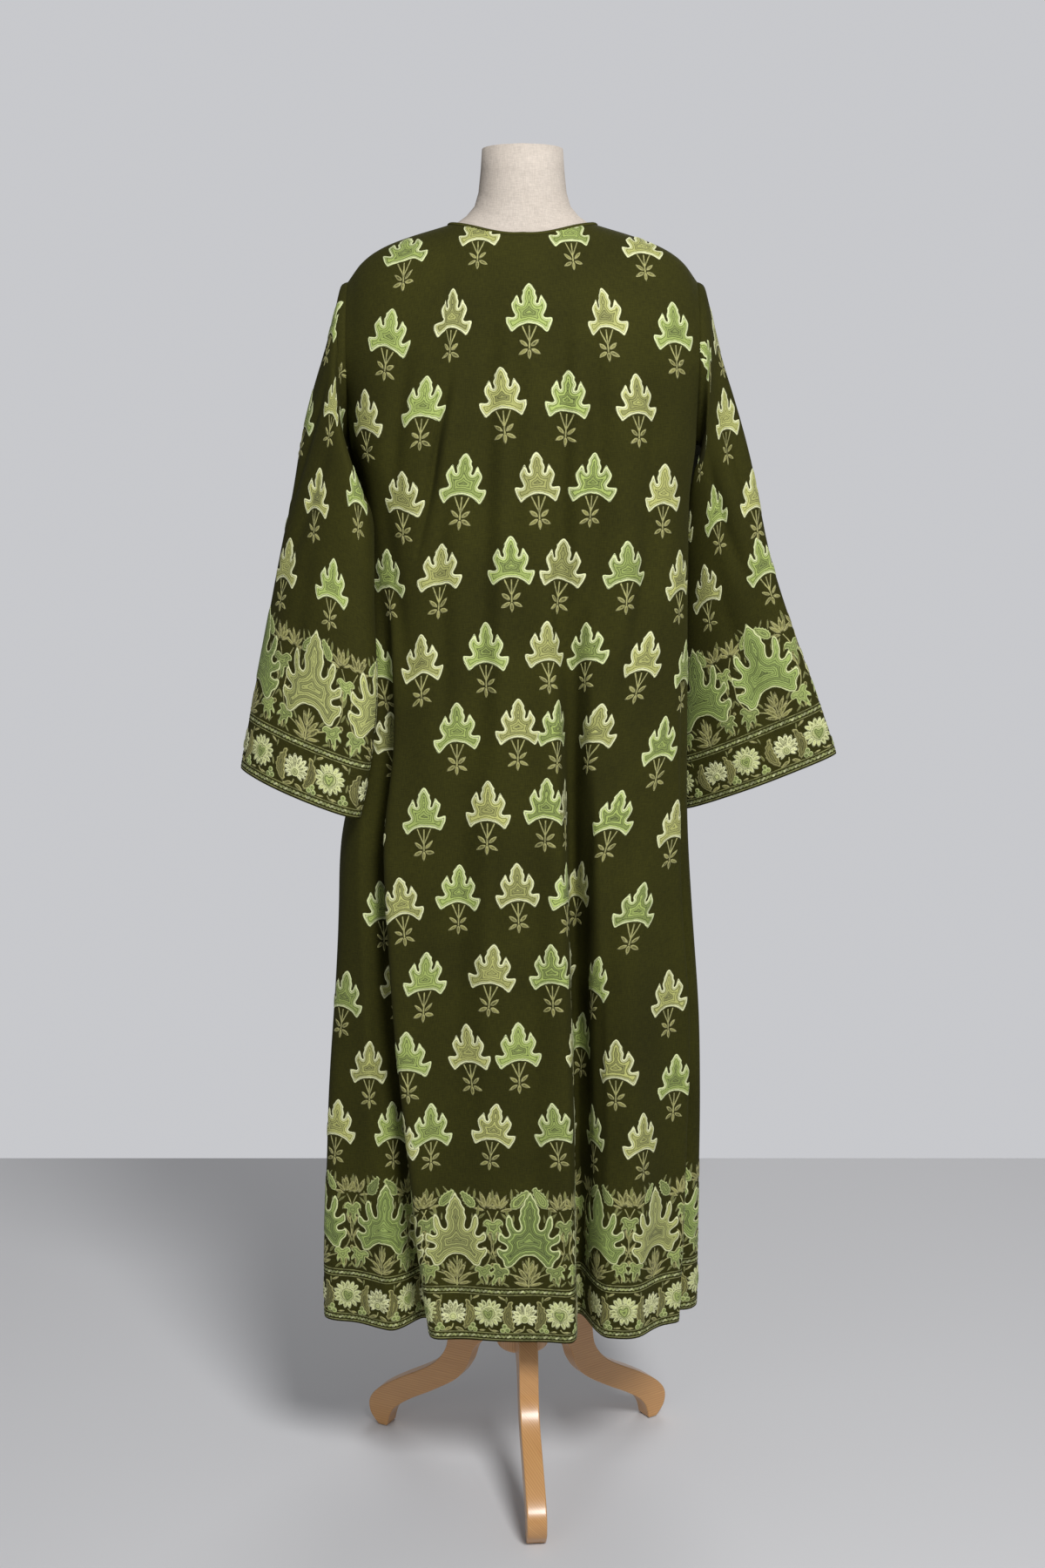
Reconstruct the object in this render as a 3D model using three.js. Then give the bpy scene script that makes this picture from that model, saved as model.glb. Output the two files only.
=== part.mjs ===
// An embroidered abaya on a limbless dress form with a three-legged wooden stand.
// Millimetres, +Z up. The back of the garment faces -Y, the front faces +Y, X runs across the shoulders.
import * as THREE from 'three';

// Cloth
const WALL = 1.6;
const SEAM_GAP = 0.3;
const BINDING_WIDTH = 5;
const BINDING_WALL = 1.8;
const BINDING_LIFT = 0.9;

// Heights above the floor
const HEM_Z = 242;
const UNDERARM_Z = 1372;
const NECK_TOP_Z = 1731;
const FORM_BASE_Z = 880;

// Shoulders, armholes and neck opening
const ARMHOLE_X = 217;
const ARMHOLE_BOW = 28;
const NECK_HALF_WIDTH = 93;
const NECK_BACK_Y = 60;
const NECK_FRONT_Y = 104;
const SHOULDER_ROUNDNESS = 2.2;
const BODY_SQUARENESS = 2.7;

// How finely the pieces are divided
const SKIRT_ROWS = 18;
const CAP_ROWS = 10;
const COLUMNS = { back: { neck: 22, beside: 14 }, front: { neck: 12, beside: 11 } };
const FORM_NECK_COLUMNS = 12;
const FORM_SIDE_COLUMNS = 6;
const FORM_ROWS = 14;
const TURNED_FACES = 32;

// Height of the shoulder seam at each distance from the centre
const SHOULDER_LINE = [
  { x: 0, z: 1655 },
  { x: 60, z: 1649 },
  { x: 95, z: 1639 },
  { x: 145, z: 1624 },
  { x: 178, z: 1610 },
  { x: 200, z: 1594 },
  { x: 217, z: 1572 },
];

// Half widths and half depths of the body below the arms
const BODY = [
  { z: 242, left: 248, right: 224, back: 152, front: 184 },
  { z: 350, left: 248, right: 226, back: 150, front: 178 },
  { z: 450, left: 247, right: 228, back: 149, front: 172 },
  { z: 550, left: 246, right: 229, back: 147, front: 167 },
  { z: 650, left: 243, right: 228, back: 144, front: 162 },
  { z: 780, left: 238, right: 219, back: 142, front: 156 },
  { z: 880, left: 232, right: 214, back: 137, front: 151 },
  { z: 1000, left: 206, right: 211, back: 132, front: 146 },
  { z: 1110, left: 201, right: 210, back: 127, front: 142 },
  { z: 1220, left: 199, right: 209, back: 123, front: 139 },
  { z: 1310, left: 202, right: 209, back: 120, front: 134 },
  { z: 1372, left: 217, right: 217, back: 117, front: 130 },
];

// Hanging folds: place in degrees from the centre back, half width in degrees, how flat the crest is,
// whole depth (out is plus), sideways lean, the heights where the fold begins and where it has its
// whole depth, and how many degrees away from its place at the hem it begins
const FOLDS = [
  { at: -68, width: 9, flat: 2, depth: 26, lean: 0, top: 1000, full: 242, drift: 0 },
  { at: -27, width: 6.5, flat: 3, depth: -52, lean: 0, top: 1300, full: 700, drift: -34 },
  { at: -19, width: 5, flat: 2, depth: 9, lean: -9, top: 1300, full: 700, drift: -34 },
  { at: -2, width: 9, flat: 2, depth: 8, lean: 0, top: 1150, full: 242, drift: 0 },
  { at: 8, width: 4, flat: 2, depth: 12, lean: 12, top: 1372, full: 650, drift: -5 },
  { at: 14.5, width: 4.6, flat: 3, depth: -74, lean: 0, top: 1372, full: 650, drift: -5 },
  { at: 31, width: 9, flat: 2, depth: 16, lean: 0, top: 1100, full: 242, drift: 0 },
  { at: 56, width: 5, flat: 2, depth: 9, lean: 4, top: 1150, full: 600, drift: 6 },
  { at: 66, width: 5, flat: 2.5, depth: -24, lean: 0, top: 1150, full: 600, drift: 6 },
  { at: 80, width: 7, flat: 2, depth: 10, lean: 0, top: 950, full: 242, drift: 0 },
  { at: 98, width: 9, flat: 2, depth: -14, lean: 0, top: 1000, full: 242, drift: 0 },
  { at: 124, width: 9, flat: 2, depth: 16, lean: 0, top: 1050, full: 242, drift: 0 },
  { at: 146, width: 8, flat: 2.5, depth: -34, lean: 0, top: 1150, full: 400, drift: -6 },
  { at: 166, width: 10, flat: 2, depth: 14, lean: 0, top: 1100, full: 242, drift: 0 },
  { at: 192, width: 9, flat: 2.5, depth: -26, lean: 0, top: 1150, full: 400, drift: 4 },
  { at: 214, width: 9, flat: 2, depth: 14, lean: 0, top: 1050, full: 242, drift: 0 },
  { at: 236, width: 8, flat: 2.5, depth: -30, lean: 0, top: 1100, full: 400, drift: 6 },
  { at: 262, width: 8, flat: 2, depth: -10, lean: 0, top: 900, full: 242, drift: 0 },
];

// Sleeves: the outer and inner edge of each section and its half depth, from shoulder to cuff
const SLEEVE_LEFT = [
  { outX: -231, outY: -3, outZ: 1544, inX: -227, inY: -6, inZ: 1350, back: 54, front: 50 },
  { outX: -242, outY: -8, outZ: 1500, inX: -210, inY: -44, inZ: 1320, back: 51, front: 38 },
  { outX: -255, outY: -13, outZ: 1446, inX: -190, inY: -78, inZ: 1285, back: 48, front: 30 },
  { outX: -271, outY: -18, outZ: 1380, inX: -184, inY: -87, inZ: 1236, back: 46, front: 31 },
  { outX: -287, outY: -24, outZ: 1304, inX: -184, inY: -91, inZ: 1180, back: 45, front: 29 },
  { outX: -305, outY: -28, outZ: 1222, inX: -182, inY: -97, inZ: 1116, back: 45, front: 28 },
  { outX: -322, outY: -32, outZ: 1137, inX: -183, inY: -101, inZ: 1048, back: 45, front: 30 },
  { outX: -339, outY: -36, outZ: 1050, inX: -191, inY: -104, inZ: 980, back: 45, front: 32 },
  { outX: -355, outY: -40, outZ: 968, inX: -205, inY: -106, inZ: 912, back: 46, front: 34 },
];
const SLEEVE_RIGHT = [
  { outX: 234, outY: 0, outZ: 1540, inX: 228, inY: 8, inZ: 1350, back: 54, front: 50 },
  { outX: 246, outY: 2, outZ: 1494, inX: 214, inY: 40, inZ: 1318, back: 50, front: 46 },
  { outX: 262, outY: 5, outZ: 1440, inX: 210, inY: 61, inZ: 1280, back: 45, front: 43 },
  { outX: 280, outY: 8, outZ: 1372, inX: 209, inY: 68, inZ: 1232, back: 40, front: 41 },
  { outX: 299, outY: 11, outZ: 1296, inX: 212, inY: 72, inZ: 1176, back: 36, front: 39 },
  { outX: 321, outY: 14, outZ: 1216, inX: 213, inY: 78, inZ: 1112, back: 34, front: 37 },
  { outX: 350, outY: 16, outZ: 1132, inX: 215, inY: 82, inZ: 1042, back: 32, front: 36 },
  { outX: 381, outY: 18, outZ: 1050, inX: 217, inY: 85, inZ: 968, back: 31, front: 36 },
  { outX: 409, outY: 20, outZ: 975, inX: 219, inY: 87, inZ: 891, back: 30, front: 36 },
];
const SLEEVE_HEAD_ROLL = 7;

// Dress form: half widths and half depths from the base up to the arms
const FORM = [
  { z: 880, half: 152, back: 74, front: 100 },
  { z: 960, half: 164, back: 80, front: 112 },
  { z: 1040, half: 156, back: 78, front: 106 },
  { z: 1130, half: 136, back: 74, front: 94 },
  { z: 1200, half: 134, back: 76, front: 94 },
  { z: 1290, half: 150, back: 96, front: 108 },
  { z: 1372, half: 166, back: 104, front: 116 },
];
const FORM_SHOULDER_X = 184;
const FORM_SEAT = WALL / 2 + 0.6;
const FORM_NECK_HALF = 85;
const FORM_NECK_BACK = 58;
const FORM_NECK_FRONT = 66;
const NECK_RADIUS = 50;
const NECK_CROWN = 3;
const NECK_FLARE = [
  { up: 0, out: 1 },
  { up: 0.12, out: 0.56 },
  { up: 0.25, out: 0.27 },
  { up: 0.43, out: 0.13 },
  { up: 0.72, out: 0.05 },
  { up: 1, out: 0 },
];

// Stand
const POLE_RADIUS = 15;
const HUB_RADIUS = 35;
const HUB_BASE_Z = 163;
const HUB_TOP_Z = 262;
const HUB_ROUND = 6;
const LEG_THICKNESS = 25.5;
const LEGS = [
  { name: 'stand_leg_front', turn: -85.5 },
  { name: 'stand_leg_right', turn: 33.5 },
  { name: 'stand_leg_left', turn: 153.5 },
];
const LEG_TOP_EDGE = [
  [HUB_RADIUS + SEAM_GAP, 250], [64, 245], [88, 226], [102, 198], [109, 165], [113, 140],
  [126, 119], [148, 101], [191, 76], [222, 55], [237, 36], [236, 16], [223, 0],
];
const LEG_UNDER_EDGE = [
  [209, 0], [205, 16], [198, 28], [186, 39], [165, 53], [137, 69], [98, 95], [80, 119],
  [71, 144], [56, 160], [HUB_RADIUS + SEAM_GAP, 170],
];

const CLOTH = new THREE.MeshStandardMaterial({ color: 0x3a3c1b, roughness: 0.9, metalness: 0 });
const SLEEVE_CLOTH = new THREE.MeshStandardMaterial({ color: 0x414420, roughness: 0.9, metalness: 0 });
const BINDING = new THREE.MeshStandardMaterial({ color: 0x4a4c26, roughness: 0.85, metalness: 0 });
const LINEN = new THREE.MeshStandardMaterial({ color: 0xd8cfc2, roughness: 0.95, metalness: 0 });
const WOOD = new THREE.MeshStandardMaterial({ color: 0xcfa171, roughness: 0.4, metalness: 0 });

const radians = THREE.MathUtils.degToRad;
const signedPower = (value, power) => Math.sign(value) * Math.abs(value) ** power;
const unit = (from, to) => to.clone().sub(from).normalize();

// Value of one column of a table at a key, on a smooth curve through its rows
function along(table, key, at, column) {
  const last = table.length - 1;
  const place = Math.min(table[last][key], Math.max(table[0][key], at));
  let i = 0;
  while (i < last - 1 && table[i + 1][key] < place) i += 1;
  const slope = (a, b) => (table[b][column] - table[a][column]) / (table[b][key] - table[a][key]);
  const span = table[i + 1][key] - table[i][key];
  const start = slope(Math.max(0, i - 1), i + 1) * span;
  const end = slope(i, Math.min(last, i + 2)) * span;
  const t = (place - table[i][key]) / span;
  const rise = t * t * (3 - 2 * t);
  const bend = start * t * (1 - t) ** 2 - end * t * t * (1 - t);
  return table[i][column] * (1 - rise) + table[i + 1][column] * rise + bend;
}

// Body below the arms, as a ring; the turn is 0 at the centre back and 90 degrees at the right side
function skirtPoint(turn, z) {
  const half = along(BODY, 'z', z, Math.sin(turn) < 0 ? 'left' : 'right');
  const depth = along(BODY, 'z', z, Math.cos(turn) > 0 ? 'back' : 'front');
  const x = half * signedPower(Math.sin(turn), 2 / BODY_SQUARENESS);
  const y = -depth * signedPower(Math.cos(turn), 2 / BODY_SQUARENESS);
  const outX = signedPower(x / half, BODY_SQUARENESS - 1) / half;
  const outY = signedPower(y / depth, BODY_SQUARENESS - 1) / depth;
  const out = new THREE.Vector3(outX, outY, 0).normalize();
  const aside = new THREE.Vector3(-out.y, out.x, 0);
  const point = new THREE.Vector3(x, y, z);
  for (const fold of FOLDS) {
    const at = fold.at + fold.drift * (z - HEM_Z) / (fold.top - HEM_Z);
    const away = THREE.MathUtils.euclideanModulo(THREE.MathUtils.radToDeg(turn) - at + 180, 360) - 180;
    const grown = THREE.MathUtils.smoothstep(fold.top - z, 0, fold.top - fold.full);
    const share = Math.exp(-(Math.abs(away / fold.width) ** fold.flat)) * grown;
    point.addScaledVector(out, fold.depth * share).addScaledVector(aside, fold.lean * share);
  }
  return point;
}

// Shape over the chest and shoulders: rise runs from 0 at the arms to 1 at the shoulder seam or neckline
function capPoint(x, depth, drop, rise, neck) {
  const near = Math.min(Math.abs(x), neck.half);
  const neckY = neck.depth * Math.sqrt(1 - (near / neck.half) ** 2);
  const end = Math.acos(Math.min(1, (neckY / depth) ** (SHOULDER_ROUNDNESS / 2)));
  const arc = rise * (Math.abs(x) < neck.half ? end : Math.PI / 2);
  const top = along(SHOULDER_LINE, 'x', Math.abs(x), 'z') - drop - UNDERARM_Z;
  const y = depth * Math.max(0, Math.cos(arc)) ** (2 / SHOULDER_ROUNDNESS);
  return new THREE.Vector3(x, y, UNDERARM_Z + top * Math.sin(arc) ** (2 / SHOULDER_ROUNDNESS));
}

// Panels: across runs from -1 to 1 between the seams, up from -1 at the hem through 0 at the
// underarm to 1 at the shoulder seam and the neckline
const SIDES = {
  back: { facing: -1, neck: { half: NECK_HALF_WIDTH, depth: NECK_BACK_Y } },
  front: { facing: 1, neck: { half: NECK_HALF_WIDTH, depth: NECK_FRONT_Y } },
};

function panelPoint(side, across, up) {
  const { facing, neck } = SIDES[side];
  if (up <= 0) {
    const turn = across * Math.PI / 2;
    return skirtPoint(facing < 0 ? turn : Math.PI - turn, UNDERARM_Z + up * (UNDERARM_Z - HEM_Z));
  }
  const rise = Math.min(1, up);
  const edgeTurn = radians(90 - ARMHOLE_BOW * Math.sin(Math.PI * rise));
  const half = ARMHOLE_X / Math.sin(edgeTurn) ** (2 / BODY_SQUARENESS);
  const x = ARMHOLE_X * signedPower(Math.sin(across * Math.PI / 2), 2 / BODY_SQUARENESS);
  const narrowing = Math.max(0, 1 - (Math.abs(x) / half) ** BODY_SQUARENESS) ** (1 / BODY_SQUARENESS);
  const depth = Math.max(1e-6, BODY[BODY.length - 1][side] * narrowing);
  const point = capPoint(x, depth, 0, rise, neck);
  point.y *= facing;
  return point;
}

// Outward direction of a surface given as a function of two values
function outward(surface, a, b, facing) {
  const step = 1e-3;
  const alongA = surface(Math.min(1, a + step), b).sub(surface(Math.max(-1, a - step), b));
  const alongB = surface(a, Math.min(1, b + step)).sub(surface(a, Math.min(1, b + step) - 2 * step));
  return alongA.cross(alongB).normalize().multiplyScalar(-facing);
}

// A solid collected from quads; corners at the same place are shared
class Shell {
  constructor() {
    this.points = [];
    this.index = [];
    this.places = new Map();
  }

  corner(point) {
    const key = point.toArray().map((value) => Math.round(value * 1e4)).join(' ');
    if (!this.places.has(key)) {
      this.places.set(key, this.points.length / 3);
      this.points.push(point.x, point.y, point.z);
    }
    return this.places.get(key);
  }

  triangle(a, b, c) {
    const ends = [this.corner(a), this.corner(b), this.corner(c)];
    if (new Set(ends).size === 3) this.index.push(...ends);
  }

  quad(a, b, c, d, cutFromA = a.distanceTo(c) <= b.distanceTo(d)) {
    if (cutFromA) {
      this.triangle(a, b, c);
      this.triangle(a, c, d);
    } else {
      this.triangle(a, b, d);
      this.triangle(b, c, d);
    }
  }

  band(lower, upper) {
    lower.forEach((point, i) => {
      const next = (i + 1) % lower.length;
      this.quad(point, lower[next], upper[next], upper[i]);
    });
  }

  fan(centre, ring) {
    ring.forEach((point, i) => this.triangle(centre, point, ring[(i + 1) % ring.length]));
  }

  geometry() {
    const at = (i) => new THREE.Vector3().fromArray(this.points, 3 * i);
    let volume = 0;
    for (let i = 0; i < this.index.length; i += 3) {
      volume += at(this.index[i]).dot(at(this.index[i + 1]).cross(at(this.index[i + 2])));
    }
    const facingOut = volume > 0 ? this.index : this.index.slice().reverse();
    const geometry = new THREE.BufferGeometry();
    geometry.setAttribute('position', new THREE.Float32BufferAttribute(this.points, 3));
    geometry.setIndex(facingOut);
    geometry.computeVertexNormals();
    return geometry;
  }
}

// A cloth wall on a grid of { point, out }, rows of columns; round joins the last column to the first
function clothWall(grid, thickness, round) {
  const shell = new Shell();
  const face = (cell, share) => cell.point.clone().addScaledVector(cell.out, thickness * share);
  const outer = grid.map((row) => row.map((cell) => face(cell, 0.5)));
  const inner = grid.map((row) => row.map((cell) => face(cell, -0.5)));
  const rows = grid.length - 1;
  const columns = grid[0].length - (round ? 0 : 1);
  const next = (j) => (j + 1) % grid[0].length;
  for (let j = 0; j < columns; j += 1) {
    for (let i = 0; i < rows; i += 1) {
      const [a, b] = [grid[i][j].point, grid[i][next(j)].point];
      const [c, d] = [grid[i + 1][next(j)].point, grid[i + 1][j].point];
      const cut = a.distanceTo(c) <= b.distanceTo(d);
      shell.quad(outer[i][j], outer[i][next(j)], outer[i + 1][next(j)], outer[i + 1][j], cut);
      shell.quad(inner[i + 1][j], inner[i + 1][next(j)], inner[i][next(j)], inner[i][j], !cut);
    }
    shell.quad(inner[0][j], inner[0][next(j)], outer[0][next(j)], outer[0][j]);
    shell.quad(outer[rows][j], outer[rows][next(j)], inner[rows][next(j)], inner[rows][j]);
  }
  if (!round) {
    for (let i = 0; i < rows; i += 1) {
      shell.quad(outer[i][0], outer[i + 1][0], inner[i + 1][0], inner[i][0]);
      shell.quad(inner[i][columns], inner[i + 1][columns], outer[i + 1][columns], outer[i][columns]);
    }
  }
  return shell.geometry();
}

// Places across a panel: evenly round the neckline from corner to corner, and closer together
// beside it where folds are narrow
const NECK_ACROSS = 2 / Math.PI * Math.asin((NECK_HALF_WIDTH / ARMHOLE_X) ** (BODY_SQUARENESS / 2));

function placesAcross(side) {
  const { facing } = SIDES[side];
  const crowding = (across) => {
    const turn = facing < 0 ? across * 90 : 180 - across * 90;
    return FOLDS.reduce((sum, fold) => {
      const away = THREE.MathUtils.euclideanModulo(turn - fold.at - fold.drift / 4 + 180, 360) - 180;
      const reach = 1.6 * fold.width + Math.abs(fold.drift) / 4;
      return sum + Math.abs(fold.depth) / 30 * Math.exp(-((away / reach) ** 2));
    }, 1);
  };
  const spread = (from, to, parts, across = (value) => value) => {
    const steps = 400;
    const sums = [0];
    for (let k = 1; k <= steps; k += 1) {
      sums.push(sums[k - 1] + crowding(across(from + (to - from) * (k - 0.5) / steps)));
    }
    const places = [];
    for (let part = 0; part < parts; part += 1) {
      const wanted = sums[steps] * part / parts;
      places.push(across(from + (to - from) * sums.findIndex((sum) => sum >= wanted) / steps));
    }
    return places;
  };
  const { neck, beside } = COLUMNS[side];
  return [
    ...spread(-1, -NECK_ACROSS, beside),
    ...spread(-Math.PI / 2, Math.PI / 2, neck, (turn) => NECK_ACROSS * Math.sin(turn)),
    ...spread(NECK_ACROSS, 1, beside),
    1,
  ];
}

// Heights of the panel's rows
const ROWS = [];
for (let i = 0; i < SKIRT_ROWS; i += 1) ROWS.push(i / SKIRT_ROWS - 1);
for (let i = 0; i <= CAP_ROWS; i += 1) ROWS.push(i / CAP_ROWS);

function panelCell(side, across, up) {
  const surface = (a, b) => panelPoint(side, a, b);
  return { point: surface(across, up), out: outward(surface, across, up, SIDES[side].facing) };
}

// One panel, drawn back from its neighbours by half a seam gap at the sides and shoulders
function panel(side) {
  const places = placesAcross(side);
  const grid = ROWS.map((up) => places.map((across) => {
    const cell = panelCell(side, across, up);
    const onSideSeam = Math.abs(across) === 1 && up <= 0;
    const onShoulderSeam = Math.abs(across) > NECK_ACROSS - 1e-6 && up === 1;
    if (onSideSeam || onShoulderSeam) cell.point.y += SIDES[side].facing * SEAM_GAP / 2;
    return cell;
  }));
  return clothWall(grid, WALL, false);
}

// Bound edge of the neck, standing on from the necklines of both panels
function neckBinding() {
  const isInNeck = (across) => Math.abs(across) < NECK_ACROSS + 1e-6;
  const back = placesAcross('back').filter(isInNeck);
  const front = placesAcross('front').filter(isInNeck).slice(1, -1).reverse();
  const loop = [
    ...back.map((across) => panelCell('back', across, 1)),
    ...front.map((across) => panelCell('front', across, 1)),
  ];
  const grid = [SEAM_GAP + 0.1, SEAM_GAP + BINDING_WIDTH / 2, SEAM_GAP + BINDING_WIDTH];
  return clothWall(grid.map((reach) => loop.map((cell, i) => {
    const before = loop[(i + loop.length - 1) % loop.length].point;
    const after = loop[(i + 1) % loop.length].point;
    const inward = cell.out.clone().cross(unit(before, after)).normalize();
    const point = cell.point.clone().addScaledVector(inward, reach).addScaledVector(cell.out, BINDING_LIFT);
    return { point, out: cell.out };
  })), BINDING_WALL, true);
}

// A sleeve: its head is the armhole loop, and below it the sections of its table
function sleeveSection(section, turn) {
  const outer = new THREE.Vector3(section.outX, section.outY, section.outZ);
  const inner = new THREE.Vector3(section.inX, section.inY, section.inZ);
  const centre = outer.clone().lerp(inner, 0.5);
  const reach = outer.clone().sub(centre);
  const back = new THREE.Vector3(0, -1, 0).addScaledVector(reach, reach.y / reach.lengthSq()).normalize();
  const depth = turn > 0 ? section.back : section.front;
  return centre.addScaledVector(reach, Math.cos(turn)).addScaledVector(back, depth * Math.sin(turn));
}

function sleeve(hand, sections) {
  const loop = [];
  for (let i = CAP_ROWS; i > 0; i -= 1) loop.push({ side: 'back', up: i / CAP_ROWS });
  for (let i = 0; i < CAP_ROWS; i += 1) loop.push({ side: 'front', up: i / CAP_ROWS });
  const head = loop.map(({ side, up }) => {
    const cells = up % 1 === 0 ? [panelCell('back', hand, up), panelCell('front', hand, up)]
      : [panelCell(side, hand, up)];
    const point = new THREE.Vector3();
    const out = new THREE.Vector3();
    const away = new THREE.Vector3();
    cells.forEach((cell, i) => {
      const from = cells.length === 2 ? ['back', 'front'][i] : side;
      point.addScaledVector(cell.point, 1 / cells.length);
      out.add(cell.out);
      away.add(unit(panelPoint(from, hand * 0.99, up), cell.point));
    });
    return { point: point.addScaledVector(away.normalize(), SEAM_GAP + 0.1), out: out.normalize() };
  });
  const turns = loop.map(({ side, up }) => (side === 'back' ? 1 : -1) * (1 - up) * Math.PI);
  const roll = new THREE.Vector3(hand * SLEEVE_HEAD_ROLL, 0, 0);
  const below = [head.map((cell) => cell.point.clone().add(roll))];
  below.push(...sections.map((section) => turns.map((turn) => sleeveSection(section, turn))));
  const grid = [head];
  below.forEach((ring, i) => {
    const above = i === 0 ? head.map((cell) => cell.point) : below[i - 1];
    const under = below[Math.min(below.length - 1, i + 1)];
    grid.push(ring.map((point, j) => {
      const round = unit(ring[(j + ring.length - 1) % ring.length], ring[(j + 1) % ring.length]);
      return { point, out: unit(above[j], under[j]).cross(round).normalize().multiplyScalar(-hand) };
    }));
  });
  return clothWall(grid, WALL, true);
}

// Limbless form: torso, shoulders that follow the garment's, and a neck
const FORM_NECK_ACROSS = 2 / Math.PI * Math.asin((FORM_NECK_HALF / FORM_SHOULDER_X) ** (BODY_SQUARENESS / 2));
const FORM_NECK = { back: FORM_NECK_BACK, front: FORM_NECK_FRONT };

function formRing(up, places) {
  const rise = Math.max(0, up);
  const z = UNDERARM_Z + Math.min(0, up) * (UNDERARM_Z - FORM_BASE_Z);
  const half = THREE.MathUtils.lerp(along(FORM, 'z', z, 'half'), FORM_SHOULDER_X, Math.sin(rise * Math.PI / 2));
  return ['back', 'front'].flatMap((side) => places.map((across) => {
    const { facing } = SIDES[side];
    const turn = -facing * across * Math.PI / 2;
    const x = half * signedPower(Math.sin(turn), 2 / BODY_SQUARENESS);
    const depth = Math.max(1e-6, along(FORM, 'z', z, side) * Math.abs(Math.cos(turn)) ** (2 / BODY_SQUARENESS));
    const neck = { half: FORM_NECK_HALF, depth: FORM_NECK[side] };
    const point = up <= 0 ? new THREE.Vector3(x, depth, z) : capPoint(x, depth, FORM_SEAT, rise, neck);
    point.y *= facing;
    return point;
  }));
}

function dressForm() {
  const shell = new Shell();
  const places = [];
  for (let i = 0; i < FORM_SIDE_COLUMNS; i += 1) {
    places.push(-1 + (1 - FORM_NECK_ACROSS) * i / FORM_SIDE_COLUMNS);
  }
  for (let i = 0; i < FORM_NECK_COLUMNS; i += 1) {
    places.push(FORM_NECK_ACROSS * Math.sin(Math.PI * (i / FORM_NECK_COLUMNS - 0.5)));
  }
  for (let i = 0; i < FORM_SIDE_COLUMNS; i += 1) {
    places.push(FORM_NECK_ACROSS + (1 - FORM_NECK_ACROSS) * i / FORM_SIDE_COLUMNS);
  }
  const rings = [];
  for (let i = -FORM_ROWS; i < 0; i += 1) rings.push(formRing(i / FORM_ROWS, places));
  for (let i = 0; i <= CAP_ROWS; i += 1) rings.push(formRing(i / CAP_ROWS, places));
  for (let i = 0; i + 1 < rings.length; i += 1) shell.band(rings[i], rings[i + 1]);
  const first = FORM_SIDE_COLUMNS;
  const shoulders = rings[rings.length - 1];
  const collar = [
    ...shoulders.slice(first, first + FORM_NECK_COLUMNS + 1),
    ...shoulders.slice(places.length + first + 1, places.length + first + FORM_NECK_COLUMNS),
  ];
  let below = collar;
  for (const { up, out } of NECK_FLARE.slice(1)) {
    const ring = collar.map((point) => {
      const top = new THREE.Vector3(point.x, point.y, 0).setLength(NECK_RADIUS);
      const x = THREE.MathUtils.lerp(top.x, point.x, out);
      const y = THREE.MathUtils.lerp(top.y, point.y, out);
      return new THREE.Vector3(x, y, THREE.MathUtils.lerp(point.z, NECK_TOP_Z, up));
    });
    shell.band(below, ring);
    below = ring;
  }
  shell.fan(new THREE.Vector3(0, 0, NECK_TOP_Z + NECK_CROWN), below);
  shell.fan(new THREE.Vector3(0, 0, FORM_BASE_Z), rings[0].slice().reverse());
  return shell.geometry();
}

// Stand: a pole and a hub turned on the lathe, and board legs sawn to a curve
function turnedWood(profile) {
  const points = profile.map(([radius, z]) => new THREE.Vector2(radius, z));
  return new THREE.LatheGeometry(points, TURNED_FACES).rotateX(Math.PI / 2);
}

function pole() {
  const base = HUB_TOP_Z + SEAM_GAP;
  const top = FORM_BASE_Z - SEAM_GAP;
  return turnedWood([[0, base], [POLE_RADIUS, base], [POLE_RADIUS, top], [0, top]]);
}

function hub() {
  const neck = HUB_RADIUS - HUB_ROUND;
  return turnedWood([
    [0, HUB_BASE_Z], [neck, HUB_BASE_Z], [HUB_RADIUS, HUB_BASE_Z + HUB_ROUND],
    [HUB_RADIUS, HUB_TOP_Z - HUB_ROUND], [neck, HUB_TOP_Z], [0, HUB_TOP_Z],
  ]);
}

function leg() {
  const outline = new THREE.Shape();
  const points = (edge) => edge.slice(1).map(([out, z]) => new THREE.Vector2(out, z));
  outline.moveTo(...LEG_TOP_EDGE[0]);
  outline.splineThru(points(LEG_TOP_EDGE));
  outline.lineTo(...LEG_UNDER_EDGE[0]);
  outline.splineThru(points(LEG_UNDER_EDGE));
  outline.closePath();
  const board = { depth: LEG_THICKNESS, bevelEnabled: false, curveSegments: 2 };
  return new THREE.ExtrudeGeometry(outline, board).rotateX(Math.PI / 2).translate(0, LEG_THICKNESS / 2, 0);
}

// The whole object, stood with the middle of its box over the origin
const group = new THREE.Group();

function place(name, geometry, material) {
  const mesh = new THREE.Mesh(geometry, material);
  mesh.name = name;
  group.add(mesh);
  return mesh;
}

place('back_panel', panel('back'), CLOTH);
place('front_panel', panel('front'), CLOTH);
place('sleeve_left', sleeve(-1, SLEEVE_LEFT), SLEEVE_CLOTH);
place('sleeve_right', sleeve(1, SLEEVE_RIGHT), SLEEVE_CLOTH);
place('neck_binding', neckBinding(), BINDING);
place('dress_form', dressForm(), LINEN);
place('stand_pole', pole(), WOOD);
place('stand_hub', hub(), WOOD);
for (const { name, turn } of LEGS) place(name, leg(), WOOD).rotation.z = radians(turn);

const box = new THREE.Box3().setFromObject(group, true);
const middle = box.getCenter(new THREE.Vector3());
group.position.set(-middle.x, -middle.y, -box.min.z);

export default group;
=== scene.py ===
import math

import bpy
import numpy as np
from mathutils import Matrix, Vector
from mathutils.geometry import delaunay_2d_cdt


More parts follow.
